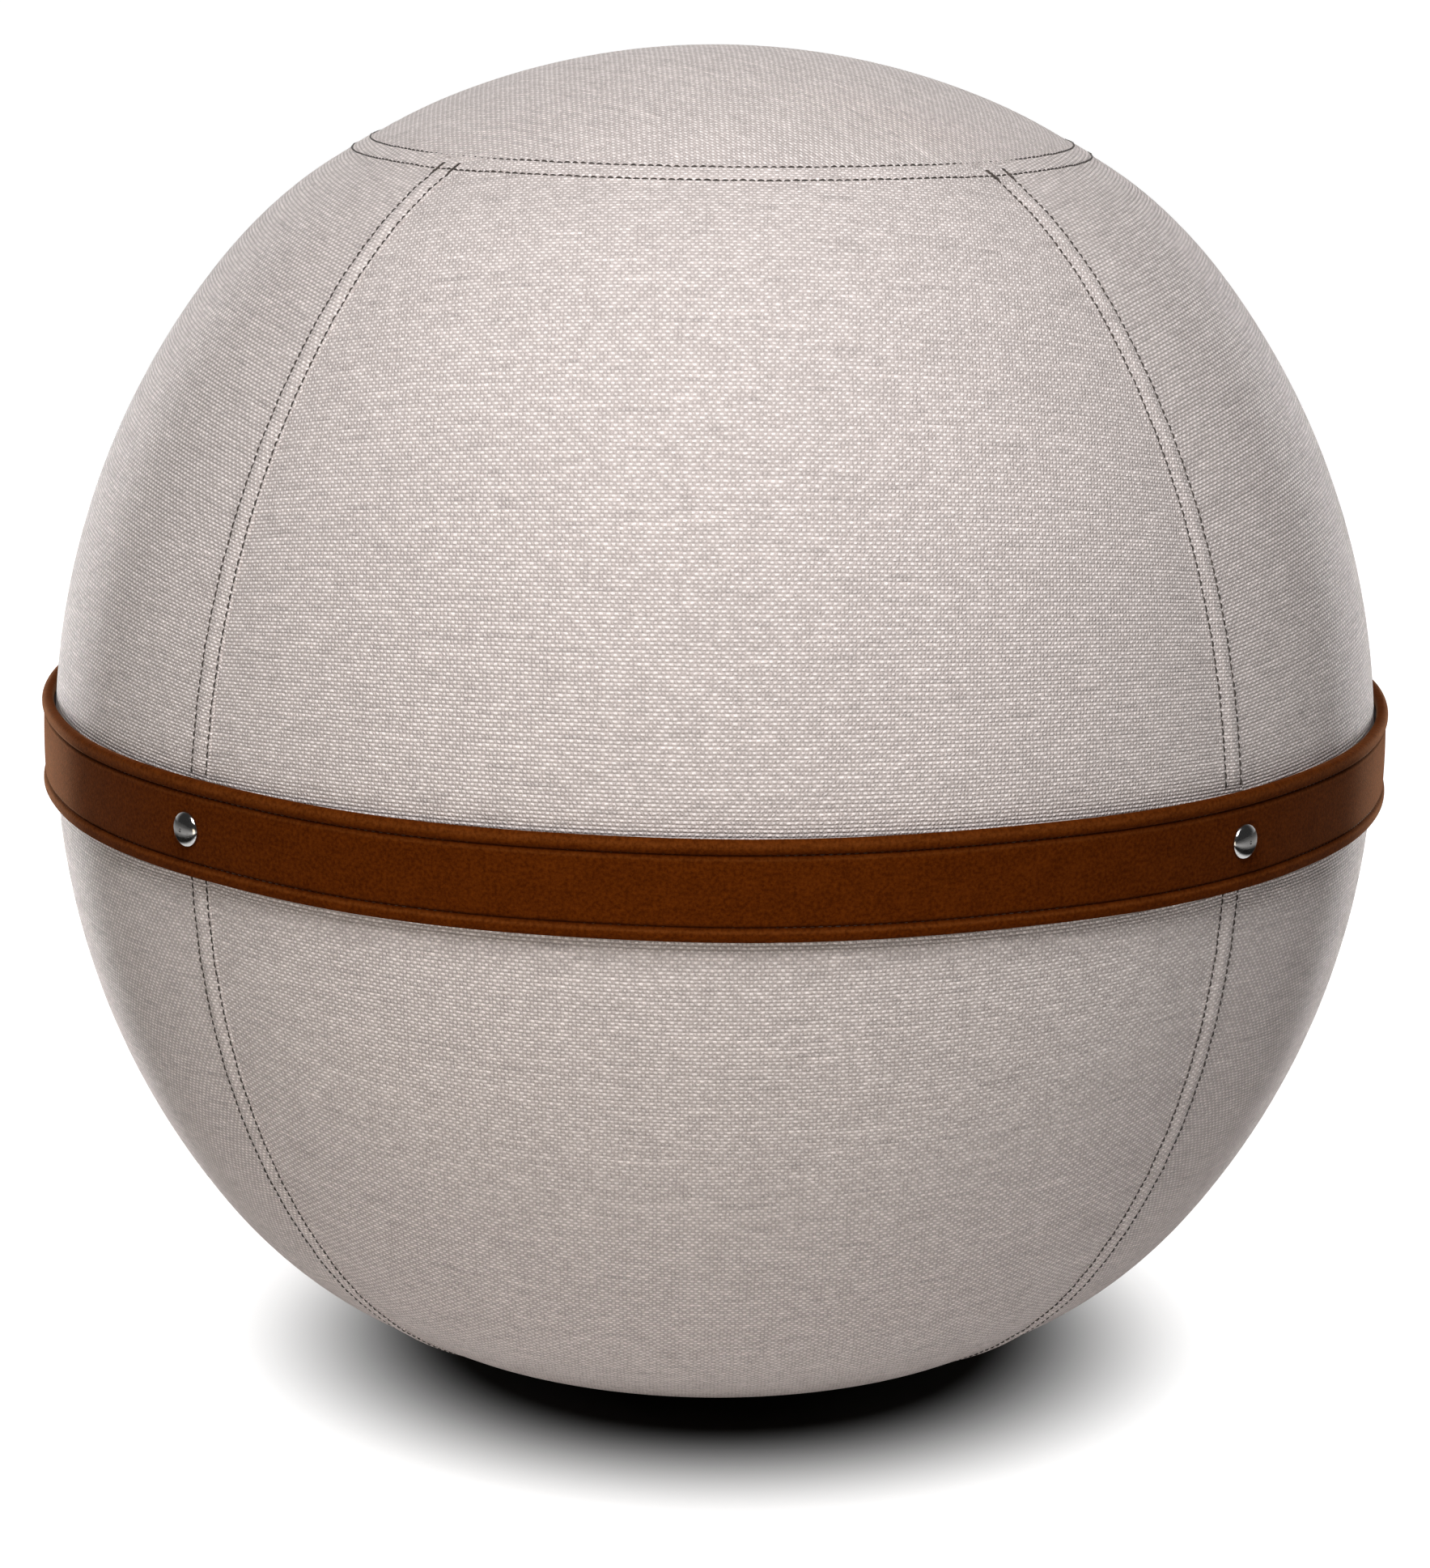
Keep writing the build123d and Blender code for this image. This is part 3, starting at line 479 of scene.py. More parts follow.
def make_skin_grain():
    """Fine pebbled relief with pores, for leather, rubber and moulded plastic."""
    tree, given, out = new_group(
        "skin_grain",
        [("Vector", "NodeSocketVector", None), ("Pebbles", "NodeSocketFloat", 900.0)],
        [("Height", "NodeSocketFloat"), ("Pores", "NodeSocketFloat")],
    )
    cells = add_node(tree, "ShaderNodeTexVoronoi", {"Vector": given["Vector"], "Scale": given["Pebbles"]})
    pebble = rise(tree, cells.outputs["Distance"], 0.0, 0.7, 1.0, 0.0)
    fine = noise(tree, given["Vector"], calc(tree, "MULTIPLY", given["Pebbles"], 2.3), 2.0)
    tree.links.new(calc(tree, "MULTIPLY_ADD", fine, 0.5, pebble), out["Height"])
    tree.links.new(rise(tree, fine, 0.56, 0.70), out["Pores"])
    return tree


def make_hair_scratches():
    """Fine polishing scratches, as a mask."""
    tree, given, out = new_group(
        "hair_scratches",
        [("Vector", "NodeSocketVector", None), ("Fineness", "NodeSocketFloat", 700.0)],
        [("Scratches", "NodeSocketFloat")],
    )
    drawn = scaled(tree, given["Vector"], (0.12, 1.0, 1.0))
    lines = noise(tree, drawn, given["Fineness"], 4.0, 0.7)
    smudge = noise(tree, given["Vector"], 220.0, 2.0)
    scratches = rise(tree, lines, 0.5, 0.72)
    marks = calc(tree, "MULTIPLY_ADD", smudge, 0.5, calc(tree, "MULTIPLY", scratches, 0.5))
    tree.links.new(marks, out["Scratches"])
    return tree


woven_yarns = make_woven_yarns()
mottle = make_mottle()
skin_grain = make_skin_grain()
hair_scratches = make_hair_scratches()


def new_material(name, **sockets):
    """A material with a Principled shader, its constant sockets set here."""
    material = bpy.data.materials.new(name)
    material.use_nodes = True
    tree = material.node_tree
    shader = tree.nodes["Principled BSDF"]
    for label, value in sockets.items():
        shader.inputs[label.replace("_", " ").title()].default_value = value
    return material, tree, shader


def bump(tree, shader, height, distance, strength=1.0):
    """Links a height in metres to the shader's normal."""
    node = add_node(tree, "ShaderNodeBump", {"Height": height, "Distance": distance, "Strength": strength})
    tree.links.new(node.outputs["Normal"], shader.inputs["Normal"])


def place_of(tree, uv_map=None):
    """The piece's own UV map, or else its Object coordinates."""
    if uv_map:
        return add_node(tree, "ShaderNodeUVMap", uv_map=uv_map).outputs["UV"]
    return add_node(tree, "ShaderNodeTexCoord").outputs["Object"]


CLOTH_GAP = (0.475, 0.415, 0.397, 1.0)
CLOTH_CROSSING = (0.595, 0.525, 0.504, 1.0)
CLOTH_FLOAT = (0.885, 0.811, 0.792, 1.0)


def make_cover_cloth():
    """Greige upholstery cloth: pale slubbed floats on a darker ground, with a painted highlight making the
    raised seam strips a little paler.
    """
    finish = {"roughness": 0.92, "sheen_weight": 0.12, "sheen_roughness": 0.30}
    material, tree, shader = new_material("cover_cloth", **finish)
    shader.inputs["Sheen Tint"].default_value = (1.0, 0.97, 0.95, 1.0)
    shader.inputs["Specular IOR Level"].default_value = 0.25
    cloth = place_of(tree, "weave")
    yarns = place_group(tree, woven_yarns, {"Vector": cloth, "Wander": 0.0012})
    warp_streak = noise(tree, scaled(tree, cloth, (700.0, 40.0, 1.0)), 1.0, 2.0)
    clouds = noise(tree, cloth, 11.0, 3.0)
    fuzz = noise(tree, cloth, 1500.0, 3.0, 0.7)
    twisted = add_node(tree, "ShaderNodeVectorRotate", {"Vector": cloth, "Angle": 0.7}, rotation_type="Z_AXIS")
    fibre = noise(tree, scaled(tree, twisted.outputs[0], (700.0, 3600.0, 1.0)), 1.0, 2.0, 0.6)
    colour = blend_colour(tree, yarns["Crossing"], CLOTH_GAP, CLOTH_CROSSING)
    colour = blend_colour(tree, yarns["Float"], colour, CLOTH_FLOAT)
    tone = calc(tree, "MULTIPLY_ADD", yarns["Tone"], 0.40, 0.80)
    effects = ((warp_streak, 0.14), (clouds, 0.05), (fibre, 0.40), (fuzz, 0.60))
    for effect, amount in effects:
        tone = calc(tree, "MULTIPLY", tone, calc(tree, "MULTIPLY_ADD", effect, amount, 1.0 - amount / 2))
    # Painted highlight: the raised seam strips and their crests are painted paler.
    strip = add_node(tree, "ShaderNodeAttribute", attribute_name="strip").outputs["Fac"]
    tone = calc(tree, "MULTIPLY", tone, calc(tree, "MULTIPLY_ADD", strip, 0.08, 1.0))
    toned = add_node(tree, "ShaderNodeVectorMath", {0: colour, "Scale": tone}, operation="SCALE")
    tree.links.new(toned.outputs[0], shader.inputs["Base Color"])
    relief = calc(tree, "MULTIPLY_ADD", fuzz, 0.5, calc(tree, "MULTIPLY_ADD", fibre, 0.3, yarns["Height"]))
    bump(tree, shader, relief, 0.00056)
    return material


def make_belt_leather():
    """Smooth brown leather, mottled, with painted shade in the grooves and painted highlights along the rolls.
    """
    material, tree, shader = new_material("belt_leather", sheen_weight=0.14, sheen_roughness=0.34)
    shader.inputs["Sheen Tint"].default_value = (1.0, 0.56, 0.34, 1.0)
    shader.inputs["Specular IOR Level"].default_value = 0.0
    band = place_of(tree, "weave")
    clouds = place_group(
        tree,
        mottle,
        {
            "Vector": band,
            "Scale": 90.0,
            "Fine Share": 0.75,
            "Dark": (0.044, 0.0078, 0.0006, 1.0),
            "Light": (0.098, 0.0205, 0.0019, 1.0),
        },
    )
    grain = place_group(tree, skin_grain, {"Vector": band, "Pebbles": 1100.0})
    groove_shade = add_node(tree, "ShaderNodeAttribute", attribute_name="groove_shade").outputs["Fac"]
    roll_highlight = add_node(tree, "ShaderNodeAttribute", attribute_name="roll_highlight").outputs["Fac"]
    # Painted highlights: the rolls and the lips just below the grooves are painted paler where light catches
    # them, unevenly with the mottle.
    painted_highlight_share = calc(tree, "MULTIPLY", roll_highlight, calc(tree, "MULTIPLY_ADD", clouds["Cloud"], 0.6, 0.2))
    colour = blend_colour(tree, painted_highlight_share, clouds["Colour"], (0.150, 0.042, 0.008, 1.0))
    # Painted shade in and beside the belt's grooves.
    colour = blend_colour(tree, calc(tree, "MULTIPLY", groove_shade, 0.8), colour, (0.022, 0.0045, 0.0008, 1.0))
    pores = calc(tree, "MULTIPLY", grain["Pores"], 0.45)
    colour = blend_colour(tree, pores, colour, (0.04, 0.009, 0.001, 1.0))
    tree.links.new(colour, shader.inputs["Base Color"])
    rough = calc(tree, "MULTIPLY_ADD", clouds["Cloud"], -0.10, 0.60)
    tree.links.new(calc(tree, "MULTIPLY_ADD", groove_shade, 0.3, rough), shader.inputs["Roughness"])
    bump(tree, shader, grain["Height"], 0.00012, 0.6)
    return material


def make_thread(name, dark, light):
    """Sewing thread, with its twist as a fine change of tone."""
    material, tree, shader = new_material(name, roughness=0.75, sheen_weight=0.1)
    place = place_of(tree)
    colours = place_group(tree, mottle, {"Vector": place, "Scale": 260.0, "Dark": dark, "Light": light})
    tree.links.new(colours["Colour"], shader.inputs["Base Color"])
    bump(tree, shader, noise(tree, place, 5200.0, 2.0), 0.0001)
    return material


def make_polished_metal(name, colour, worn, metal_roughness):
    """Bright metal with fine scratches and handling marks."""
    material, tree, shader = new_material(name, metallic=1.0)
    place = place_of(tree)
    marks = place_group(tree, hair_scratches, {"Vector": place})["Scratches"]
    tree.links.new(blend_colour(tree, marks, colour, worn), shader.inputs["Base Color"])
    dulled = rise(tree, marks, 0.1, 0.9, metal_roughness, metal_roughness + 0.18)
    tree.links.new(dulled, shader.inputs["Roughness"])
    bump(tree, shader, marks, 0.00002)
    return material


def make_tape_cloth(name, dark, light, row_pitch, float_pitch):
    """Woven tape, webbing or lining."""
    material, tree, shader = new_material(name, roughness=0.9, sheen_weight=0.1)
    place = place_of(tree)
    pitches = {"Row Pitch": row_pitch, "Float Pitch": float_pitch}
    yarns = place_group(tree, woven_yarns, {"Vector": place, "Wander": 0.0003, **pitches})
    share = calc(tree, "MULTIPLY", yarns["Float"], calc(tree, "MULTIPLY_ADD", yarns["Tone"], 0.5, 0.5))
    tree.links.new(blend_colour(tree, share, dark, light), shader.inputs["Base Color"])
    bump(tree, shader, yarns["Height"], 0.0002)
    return material


def make_moulded(name, dark, light, pebbles, roughness):
    """Moulded rubber, vinyl or plastic, with a fine grain and a little cloudiness."""
    material, tree, shader = new_material(name)
    place = place_of(tree)
    clouds = place_group(tree, mottle, {"Vector": place, "Scale": 24.0, "Dark": dark, "Light": light})
    grain = place_group(tree, skin_grain, {"Vector": place, "Pebbles": pebbles})
    tree.links.new(clouds["Colour"], shader.inputs["Base Color"])
    dulled = rise(tree, clouds["Cloud"], 0.0, 1.0, roughness, roughness + 0.12)
    tree.links.new(dulled, shader.inputs["Roughness"])
    bump(tree, shader, grain["Height"], 0.00015, 0.7)
    return material


def make_granules():
    """Loose granules, each of its own grey."""
    material, tree, shader = new_material("ballast_granules", roughness=0.8)
    cells = add_node(tree, "ShaderNodeTexVoronoi", {"Vector": place_of(tree), "Scale": 420.0})
    cell_red = add_node(tree, "ShaderNodeSeparateColor", {0: cells.outputs["Color"]}).outputs[0]
    grey = rise(tree, cell_red, 0.0, 1.0)
    colour = blend_colour(tree, grey, (0.02, 0.02, 0.021, 1.0), (0.11, 0.108, 0.10, 1.0))
    tree.links.new(colour, shader.inputs["Base Color"])
    bump(tree, shader, rise(tree, cells.outputs["Distance"], 0.0, 0.6, 1.0, 0.0), 0.001)
    return material


cover_cloth = make_cover_cloth()
belt_leather = make_belt_leather()
seam_thread = make_thread("seam_thread", (0.020, 0.014, 0.011, 1.0), (0.075, 0.058, 0.048, 1.0))
belt_thread = make_thread("belt_thread", (0.010, 0.003, 0.001, 1.0), (0.050, 0.018, 0.007, 1.0))
rivet_nickel = make_polished_metal("rivet_nickel", (0.62, 0.61, 0.60, 1.0), (0.45, 0.44, 0.43, 1.0), 0.10)
zip_metal = make_polished_metal("zip_metal", (0.09, 0.09, 0.094, 1.0), (0.20, 0.20, 0.20, 1.0), 0.30)
tape_cloth = make_tape_cloth(
    "tape_cloth", (0.05, 0.045, 0.042, 1.0), (0.14, 0.125, 0.115, 1.0), 0.0009, 0.0014
)
zip_tape_cloth = make_tape_cloth(
    "zip_tape_cloth", (0.018, 0.017, 0.017, 1.0), (0.07, 0.067, 0.065, 1.0), 0.0006, 0.0012
)
ballast_cloth = make_tape_cloth(
    "ballast_cloth", (0.06, 0.06, 0.065, 1.0), (0.17, 0.17, 0.18, 1.0), 0.0007, 0.0009
)
belt_webbing = make_tape_cloth(
    "belt_webbing", (0.05, 0.028, 0.015, 1.0), (0.16, 0.10, 0.06, 1.0), 0.0012, 0.0018
)
belt_backing = make_tape_cloth(
    "belt_backing", (0.05, 0.024, 0.013, 1.0), (0.13, 0.066, 0.037, 1.0), 0.0005, 0.0006
)
base_board = make_tape_cloth(
    "base_board", (0.012, 0.012, 0.013, 1.0), (0.055, 0.055, 0.058, 1.0), 0.0014, 0.0016
)
bladder_vinyl = make_moulded("bladder_vinyl", (0.26, 0.27, 0.28, 1.0), (0.37, 0.38, 0.39, 1.0), 600.0, 0.38)
valve_plastic = make_moulded("valve_plastic", (0.70, 0.70, 0.68, 1.0), (0.82, 0.82, 0.80, 1.0), 1500.0, 0.35)
grip_rubber = make_moulded("grip_rubber", (0.014, 0.014, 0.015, 1.0), (0.030, 0.030, 0.031, 1.0), 700.0, 0.68)
zip_nylon = make_moulded("zip_nylon", (0.022, 0.021, 0.020, 1.0), (0.050, 0.048, 0.047, 1.0), 2500.0, 0.36)
ballast_granules = make_granules()


def dress(node, material):
    """Gives a CAD node its finished material."""
    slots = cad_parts[node].data.materials
    slots.clear()
    slots.append(material)


def flatten_with_seat(piece):
    """The piece rides on the ball, with a mesh of its own."""
    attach(piece, "ball")
    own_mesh(piece)


# Side panels of the cover, each lapped over the next one and over the top panel
def side_panel_rows():
    """Lengths from the top at which a side panel has its rows, close together at its top seam."""
    fine = np.arange(SEAM_LENGTH - TOP_FOLD, SEAM_LENGTH + 0.012, 0.00045)
    coarse = np.arange(SEAM_LENGTH + 0.0135, LIP_LENGTH, 0.003)
    lip = np.linspace(LIP_LENGTH, HEM_LENGTH, 5)
    return np.concatenate([fine, coarse, lip])[:, None]


def side_panel_angles(lengths, start):
    """Angles of a side panel's columns on each row, at fixed distances from its two seams."""
    radius = outline(lengths)[0]
    under = np.linspace(UNDER_EDGE, SEAM_ZONE, 22)
    over = np.concatenate([np.linspace(-SEAM_ZONE, -0.009, 16)[:-1], np.linspace(-0.009, SIDE_FOLD, 44)])
    first = start + under / radius
    last = start + PANEL_ARC + over / radius
    share = np.linspace(0, 1, 42)[1:-1]
    middle = first[:, -1:] + (last[:, :1] - first[:, -1:]) * share
    return np.hstack([first, middle, last])


def weave_lie(lengths, angles, centre):
    """Place on the flat cloth of points of a side panel: its weft sags a little below level lines."""
    radius, height, _ = outline(lengths)
    turn = angles - centre
    climb = np.arctan2(height - EQUATOR_HEIGHT, radius) + 0 * turn
    great = np.arctan(np.tan(climb) / np.cos(turn))
    return np.stack([radius * turn, EQUATOR_RADIUS * ((1 - WEFT_SAG) * climb + WEFT_SAG * great)], -1)


panel_starts = {
    "right": FIRST_SEAM,
    "back": FIRST_SEAM + PANEL_ARC,
    "left": FIRST_SEAM + 2 * PANEL_ARC,
    "front": FIRST_SEAM + 3 * PANEL_ARC,
}
panel_rows = side_panel_rows()
for number, (side, start) in enumerate(panel_starts.items()):
    angles = side_panel_angles(panel_rows, start)
    ground, outward, relief, strip = side_panel_face(panel_rows, angles, start)
    outer = ground + relief[..., None] * outward
    inner = ground - (CLOTH_THICKNESS + SEAM_PULL) * outward
    panel = new_piece(f"side_panel_{side}", np.concatenate([outer, inner]), face_list(*angles.shape, False))
    lie = weave_lie(panel_rows, angles, start + PANEL_ARC / 2).reshape(-1, 2)
    lie = lie + (0.113 * number, 0.071 * number)
    lay_weave(panel, np.concatenate([lie, lie]))
    # This mark is a painted highlight on the raised seam strips and crests.
    mark(panel, "strip", np.concatenate([strip.ravel(), strip.ravel()]))
    panel.data.materials.append(cover_cloth)
    flatten_with_seat(panel)
    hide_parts(f"cover_side_panel_{side}")

# Top panel, a disc of cloth whose edge lies under the side panels
TOP_STEPS = 320
top_rows = np.concatenate(
    [
        np.arange(0.001, SEAM_LENGTH - SEAM_ZONE, 0.005),
        np.arange(SEAM_LENGTH - SEAM_ZONE, SEAM_LENGTH - UNDER_EDGE, 0.0008),
    ]
)[:, None]
top_angles = np.linspace(0, math.tau, TOP_STEPS, endpoint=False)[None, :]
top_radius = outline(top_rows)[0]
from_seam = top_rows - SEAM_LENGTH
top_relief = PUCKER * beside_seam(from_seam) * ripple(top_angles * top_radius, TOP_RIPPLE_PHASE)
top_relief = top_relief - SEAM_PULL * hump(from_seam, TOP_PULL_WIDTH)
top_ground, top_outward = cover_surface(top_rows, top_angles)
top_outer = top_ground + top_relief[..., None] * top_outward
top_inner = top_ground - (CLOTH_THICKNESS + SEAM_PULL) * top_outward
top_faces = face_list(len(top_rows), TOP_STEPS, True)
rim_start = 2 * (len(top_rows) - 1) * TOP_STEPS
top_faces = [face for place, face in enumerate(top_faces) if place < rim_start or (place - rim_start) % 2]
layer_size = len(top_rows) * TOP_STEPS
top_faces.append(tuple(range(TOP_STEPS)))
top_faces.append(tuple(range(layer_size + TOP_STEPS - 1, layer_size - 1, -1)))
top_panel = new_piece("top_panel", np.concatenate([top_outer, top_inner]), top_faces)
top_lie = np.stack(
    [top_rows * np.cos(top_angles + TOP_WEFT_ANGLE), top_rows * np.sin(top_angles + TOP_WEFT_ANGLE)], -1
).reshape(-1, 2)
lay_weave(top_panel, np.concatenate([top_lie, top_lie]) + 0.531)
mark(top_panel, "strip", np.zeros(2 * layer_size))
top_panel.data.materials.append(cover_cloth)
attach(top_panel, "seat")
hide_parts("cover_top_panel")


# Bladder, a blown skin that rides on the ball with the cover, and the tapes behind the side seams
def bladder_section():
    """Section of the bladder's wall, from the valve hole out, up to the top and back inside."""
    lengths = np.linspace(LIP_LENGTH, 0.0, 150)
    radius, height, facing = outline(lengths)
    layers = []
    for depth in (BLADDER_DEPTH, BLADDER_DEPTH + BLADDER_WALL):
        bottom = BLADDER_BOTTOM + depth - BLADDER_DEPTH
        layer_radius = radius - depth * np.cos(facing)
        layer_height = height - depth * np.sin(facing)
        over = layer_height - bottom
        layer_height = bottom + 0.5 * (over + np.sqrt(over**2 + 0.014**2))
        flat = np.array([[VALVE_HOLE_RADIUS, bottom], [0.030, bottom], [0.060, bottom + 0.0004]])
        curved = np.stack([np.maximum(layer_radius, 0.0004), layer_height], -1)
        layers.append(np.concatenate([flat, curved]))
    return np.concatenate([layers[0], layers[1][::-1]])


inner_ball_skin, _ = turned("inner_ball_skin", bladder_section(), 96)
inner_ball_skin.data.materials.append(bladder_vinyl)
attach(inner_ball_skin, "ball")
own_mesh(inner_ball_skin)
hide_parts("inner_ball")

TAPE_HALF_WIDTH = 0.012
TAPE_DEPTH = 0.0023
TAPE_THICKNESS = 0.0008
tape_low, tape_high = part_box("side_seam_tapes")
all_lengths = np.linspace(SEAM_LENGTH, LIP_LENGTH, 400)
all_heights = outline(all_lengths)[1]
tape_rows = all_lengths[(all_heights < tape_high.z) & (all_heights > tape_low.z)][::3, None]
tape_points = []
tape_faces = []
for number in range(PANEL_COUNT):
    radius = outline(tape_rows)[0]
    angles = FIRST_SEAM + number * PANEL_ARC + np.linspace(-TAPE_HALF_WIDTH, TAPE_HALF_WIDTH, 9) / radius
    ground, outward = cover_surface(tape_rows, angles)
    offset = number * 2 * angles.size
    tape_points.append(ground - TAPE_DEPTH * outward)
    tape_points.append(ground - (TAPE_DEPTH + TAPE_THICKNESS) * outward)
    tape_faces += [tuple(corner + offset for corner in face) for face in face_list(*angles.shape, False)]
seam_tapes = new_piece("side_seam_tape_strips", np.concatenate(tape_points), tape_faces)
seam_tapes.data.materials.append(tape_cloth)
flatten_with_seat(seam_tapes)
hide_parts("side_seam_tapes")


# Belt face with a rolled edge above and below, and a stitched groove beside each roll
def belt_section():
    """Section of the belt's face, out and up over its two rolls and back behind the band."""
    across = np.linspace(-BELT_HALF, BELT_HALF, 121)
    away = np.abs(across)
    roll_half = (BELT_HALF - BELT_BAND_HALF) / 2
    place = np.clip((away - BELT_BAND_HALF - roll_half) / roll_half, -1.0, 1.0)
    swell = BELT_ROLL_DEPTH / 2 * (1 - np.abs(place) ** 2.6) ** (1 / 2.6)
    roll = np.where(away > BELT_BAND_HALF, BELT_INNER_RADIUS + BELT_ROLL_DEPTH / 2 + swell, 0.0)
    shoulder = np.clip((away - BELT_BAND_HALF + 0.0013) / 0.0013, 0.0, 1.0)
    band = BELT_FACE_RADIUS + BELT_CROWN * (1 - (away / BELT_BAND_HALF) ** 2)
    band = np.where(away < BELT_BAND_HALF, band - 0.0012 * (1 - np.sqrt(1 - 0.9 * shoulder**2)), 0.0)
    face = np.maximum(np.maximum(band, roll), np.where(away > BELT_HALF - 0.002, 0.0, BELT_GROOVE_RADIUS))
    outer = np.stack([face, BELT_HEIGHT + across], -1)
    behind = np.linspace(BELT_HALF, BELT_BAND_HALF, 14)
    place = (behind - BELT_BAND_HALF - roll_half) / roll_half
    swell = BELT_ROLL_DEPTH / 2 * (1 - np.abs(place) ** 2.6) ** (1 / 2.6)
    upper_back = np.stack([BELT_INNER_RADIUS + BELT_ROLL_DEPTH / 2 - swell, BELT_HEIGHT + behind], -1)[1:-1]
    lower_back = np.stack([upper_back[::-1, 0], 2 * BELT_HEIGHT - upper_back[::-1, 1]], -1)
    middle = np.array(
        [
            [BELT_BACK_RADIUS, BELT_HEIGHT + BELT_BAND_HALF - 0.0002],
            [BELT_BACK_RADIUS, BELT_HEIGHT - BELT_BAND_HALF + 0.0002],
        ]
    )
    return np.concatenate([outer, upper_back, middle, lower_back])


def belt_sway(turn):
    """How far the belt strays up or down at this angle round the ball."""
    return 0.00030 * np.sin(5 * turn + 0.7) + 0.00022 * np.sin(11 * turn + 2.0)


BELT_STEPS = 420
belt_profile = belt_section()
belt_wrap, belt_angles = turned("belt_wrap", belt_profile, BELT_STEPS)
belt_across = np.tile(belt_profile[:, 1] - BELT_HEIGHT, BELT_STEPS)
belt_turn = np.repeat(belt_angles, len(belt_profile))
belt_swell = 0.00010 * np.sin(7 * belt_turn + 1.3) + 0.00008 * np.sin(23 * belt_turn)
belt_points = np.empty(len(belt_wrap.data.vertices) * 3)
belt_wrap.data.vertices.foreach_get("co", belt_points)
belt_points = belt_points.reshape(-1, 3)
belt_points[:, 2] += belt_sway(belt_turn)
belt_points[:, 0] += belt_swell * np.cos(belt_turn)
belt_points[:, 1] += belt_swell * np.sin(belt_turn)
belt_wrap.data.vertices.foreach_set("co", belt_points.ravel())
lay_weave(belt_wrap, np.stack([belt_turn * BELT_FACE_RADIUS, belt_across], -1))
# Marks for the belt's painted light: painted shade in and beside each groove, and painted highlights on the
# upper roll and on the lips just below the grooves.
groove_away = np.abs(belt_across) - BELT_BAND_HALF
mark(belt_wrap, "groove_shade", np.maximum(hump(groove_away, 0.00055), 0.30 * hump(groove_away, 0.0016)))
upper_roll_highlight = hump(belt_across - BELT_HALF + 0.0022, 0.0015)
under_groove_highlight = hump(belt_across - BELT_BAND_HALF + 0.0017, 0.0006)
lower_roll_highlight = hump(belt_across + BELT_BAND_HALF + 0.0017, 0.0007)
lower_highlights = np.maximum(0.7 * under_groove_highlight, lower_roll_highlight)
mark(belt_wrap, "roll_highlight", np.maximum(0.8 * upper_roll_highlight, lower_highlights))
belt_wrap.data.materials.append(belt_leather)
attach(belt_wrap, "belt")
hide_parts("belt_face")


# Geometry Nodes: loops of thread or wire along lines, and caps on a ring
def make_loop_rows():
    """Sets small arched loops along the lines of a mesh, turned by its attributes outward and forward."""
    tree, given, out = new_group(
        "loop_rows",
        [
            ("Lines", "NodeSocketGeometry", None),
            ("Pitch", "NodeSocketFloat", 0.0034),
            ("Loop Length", "NodeSocketFloat", 0.0029),
            ("Arch", "NodeSocketFloat", 0.0004),
            ("Thread Radius", "NodeSocketFloat", 0.0004),
            ("Seed", "NodeSocketInt", 3),
            ("Finish", "NodeSocketMaterial", None),
        ],
        [("Loops", "NodeSocketGeometry")],
        "GeometryNodeTree",
    )
    curve = add_node(tree, "GeometryNodeMeshToCurve", {"Mesh": given["Lines"]})
    spaced = add_node(
        tree, "GeometryNodeResampleCurve", {"Curve": curve.outputs[0], "Length": given["Pitch"]}, mode="LENGTH"
    )
    half = calc(tree, "MULTIPLY", given["Loop Length"], 0.5)
    low = calc(tree, "MULTIPLY", given["Arch"], -1.0)
    start = add_node(tree, "ShaderNodeCombineXYZ", {"X": calc(tree, "MULTIPLY", half, -1.0), "Z": low})
    middle = add_node(tree, "ShaderNodeCombineXYZ", {"Z": calc(tree, "MULTIPLY", given["Arch"], 2.2)})
    end = add_node(tree, "ShaderNodeCombineXYZ", {"X": half, "Z": low})
    arc = add_node(
        tree,
        "GeometryNodeCurveQuadraticBezier",
        {"Resolution": 5, "Start": start.outputs[0], "Middle": middle.outputs[0], "End": end.outputs[0]},
    )
    round_section = add_node(
        tree, "GeometryNodeCurvePrimitiveCircle", {"Resolution": 6, "Radius": given["Thread Radius"]}
    )
    loop = add_node(
        tree,
        "GeometryNodeCurveToMesh",
        {"Curve": arc.outputs[0], "Profile Curve": round_section.outputs[0], "Fill Caps": True},
    )
    outward = add_node(tree, "GeometryNodeInputNamedAttribute", {"Name": "outward"}, data_type="FLOAT_VECTOR")
    forward = add_node(tree, "GeometryNodeInputNamedAttribute", {"Name": "forward"}, data_type="FLOAT_VECTOR")
    turn = add_node(
        tree,
        "FunctionNodeAxesToRotation",
        {0: outward.outputs["Attribute"], 1: forward.outputs["Attribute"]},
        primary_axis="Z",
        secondary_axis="X",
    )
    size = add_node(
        tree,
        "FunctionNodeRandomValue",
        {"Min": (0.90, 0.88, 0.85), "Max": (1.06, 1.12, 1.15), "Seed": given["Seed"]},
        data_type="FLOAT_VECTOR",
    )
    rows = add_node(
        tree,
        "GeometryNodeInstanceOnPoints",
        {
            "Points": spaced.outputs[0],
            "Instance": loop.outputs[0],
            "Rotation": turn.outputs[0],
            "Scale": size.outputs[0],
        },
    )
    real = add_node(tree, "GeometryNodeRealizeInstances", {0: rows.outputs[0]})
    smooth = add_node(tree, "GeometryNodeSetShadeSmooth", {0: real.outputs[0]})
    finished = add_node(
        tree, "GeometryNodeSetMaterial", {"Geometry": smooth.outputs[0], "Material": given["Finish"]}
    )
    tree.links.new(finished.outputs[0], out["Loops"])
    return tree


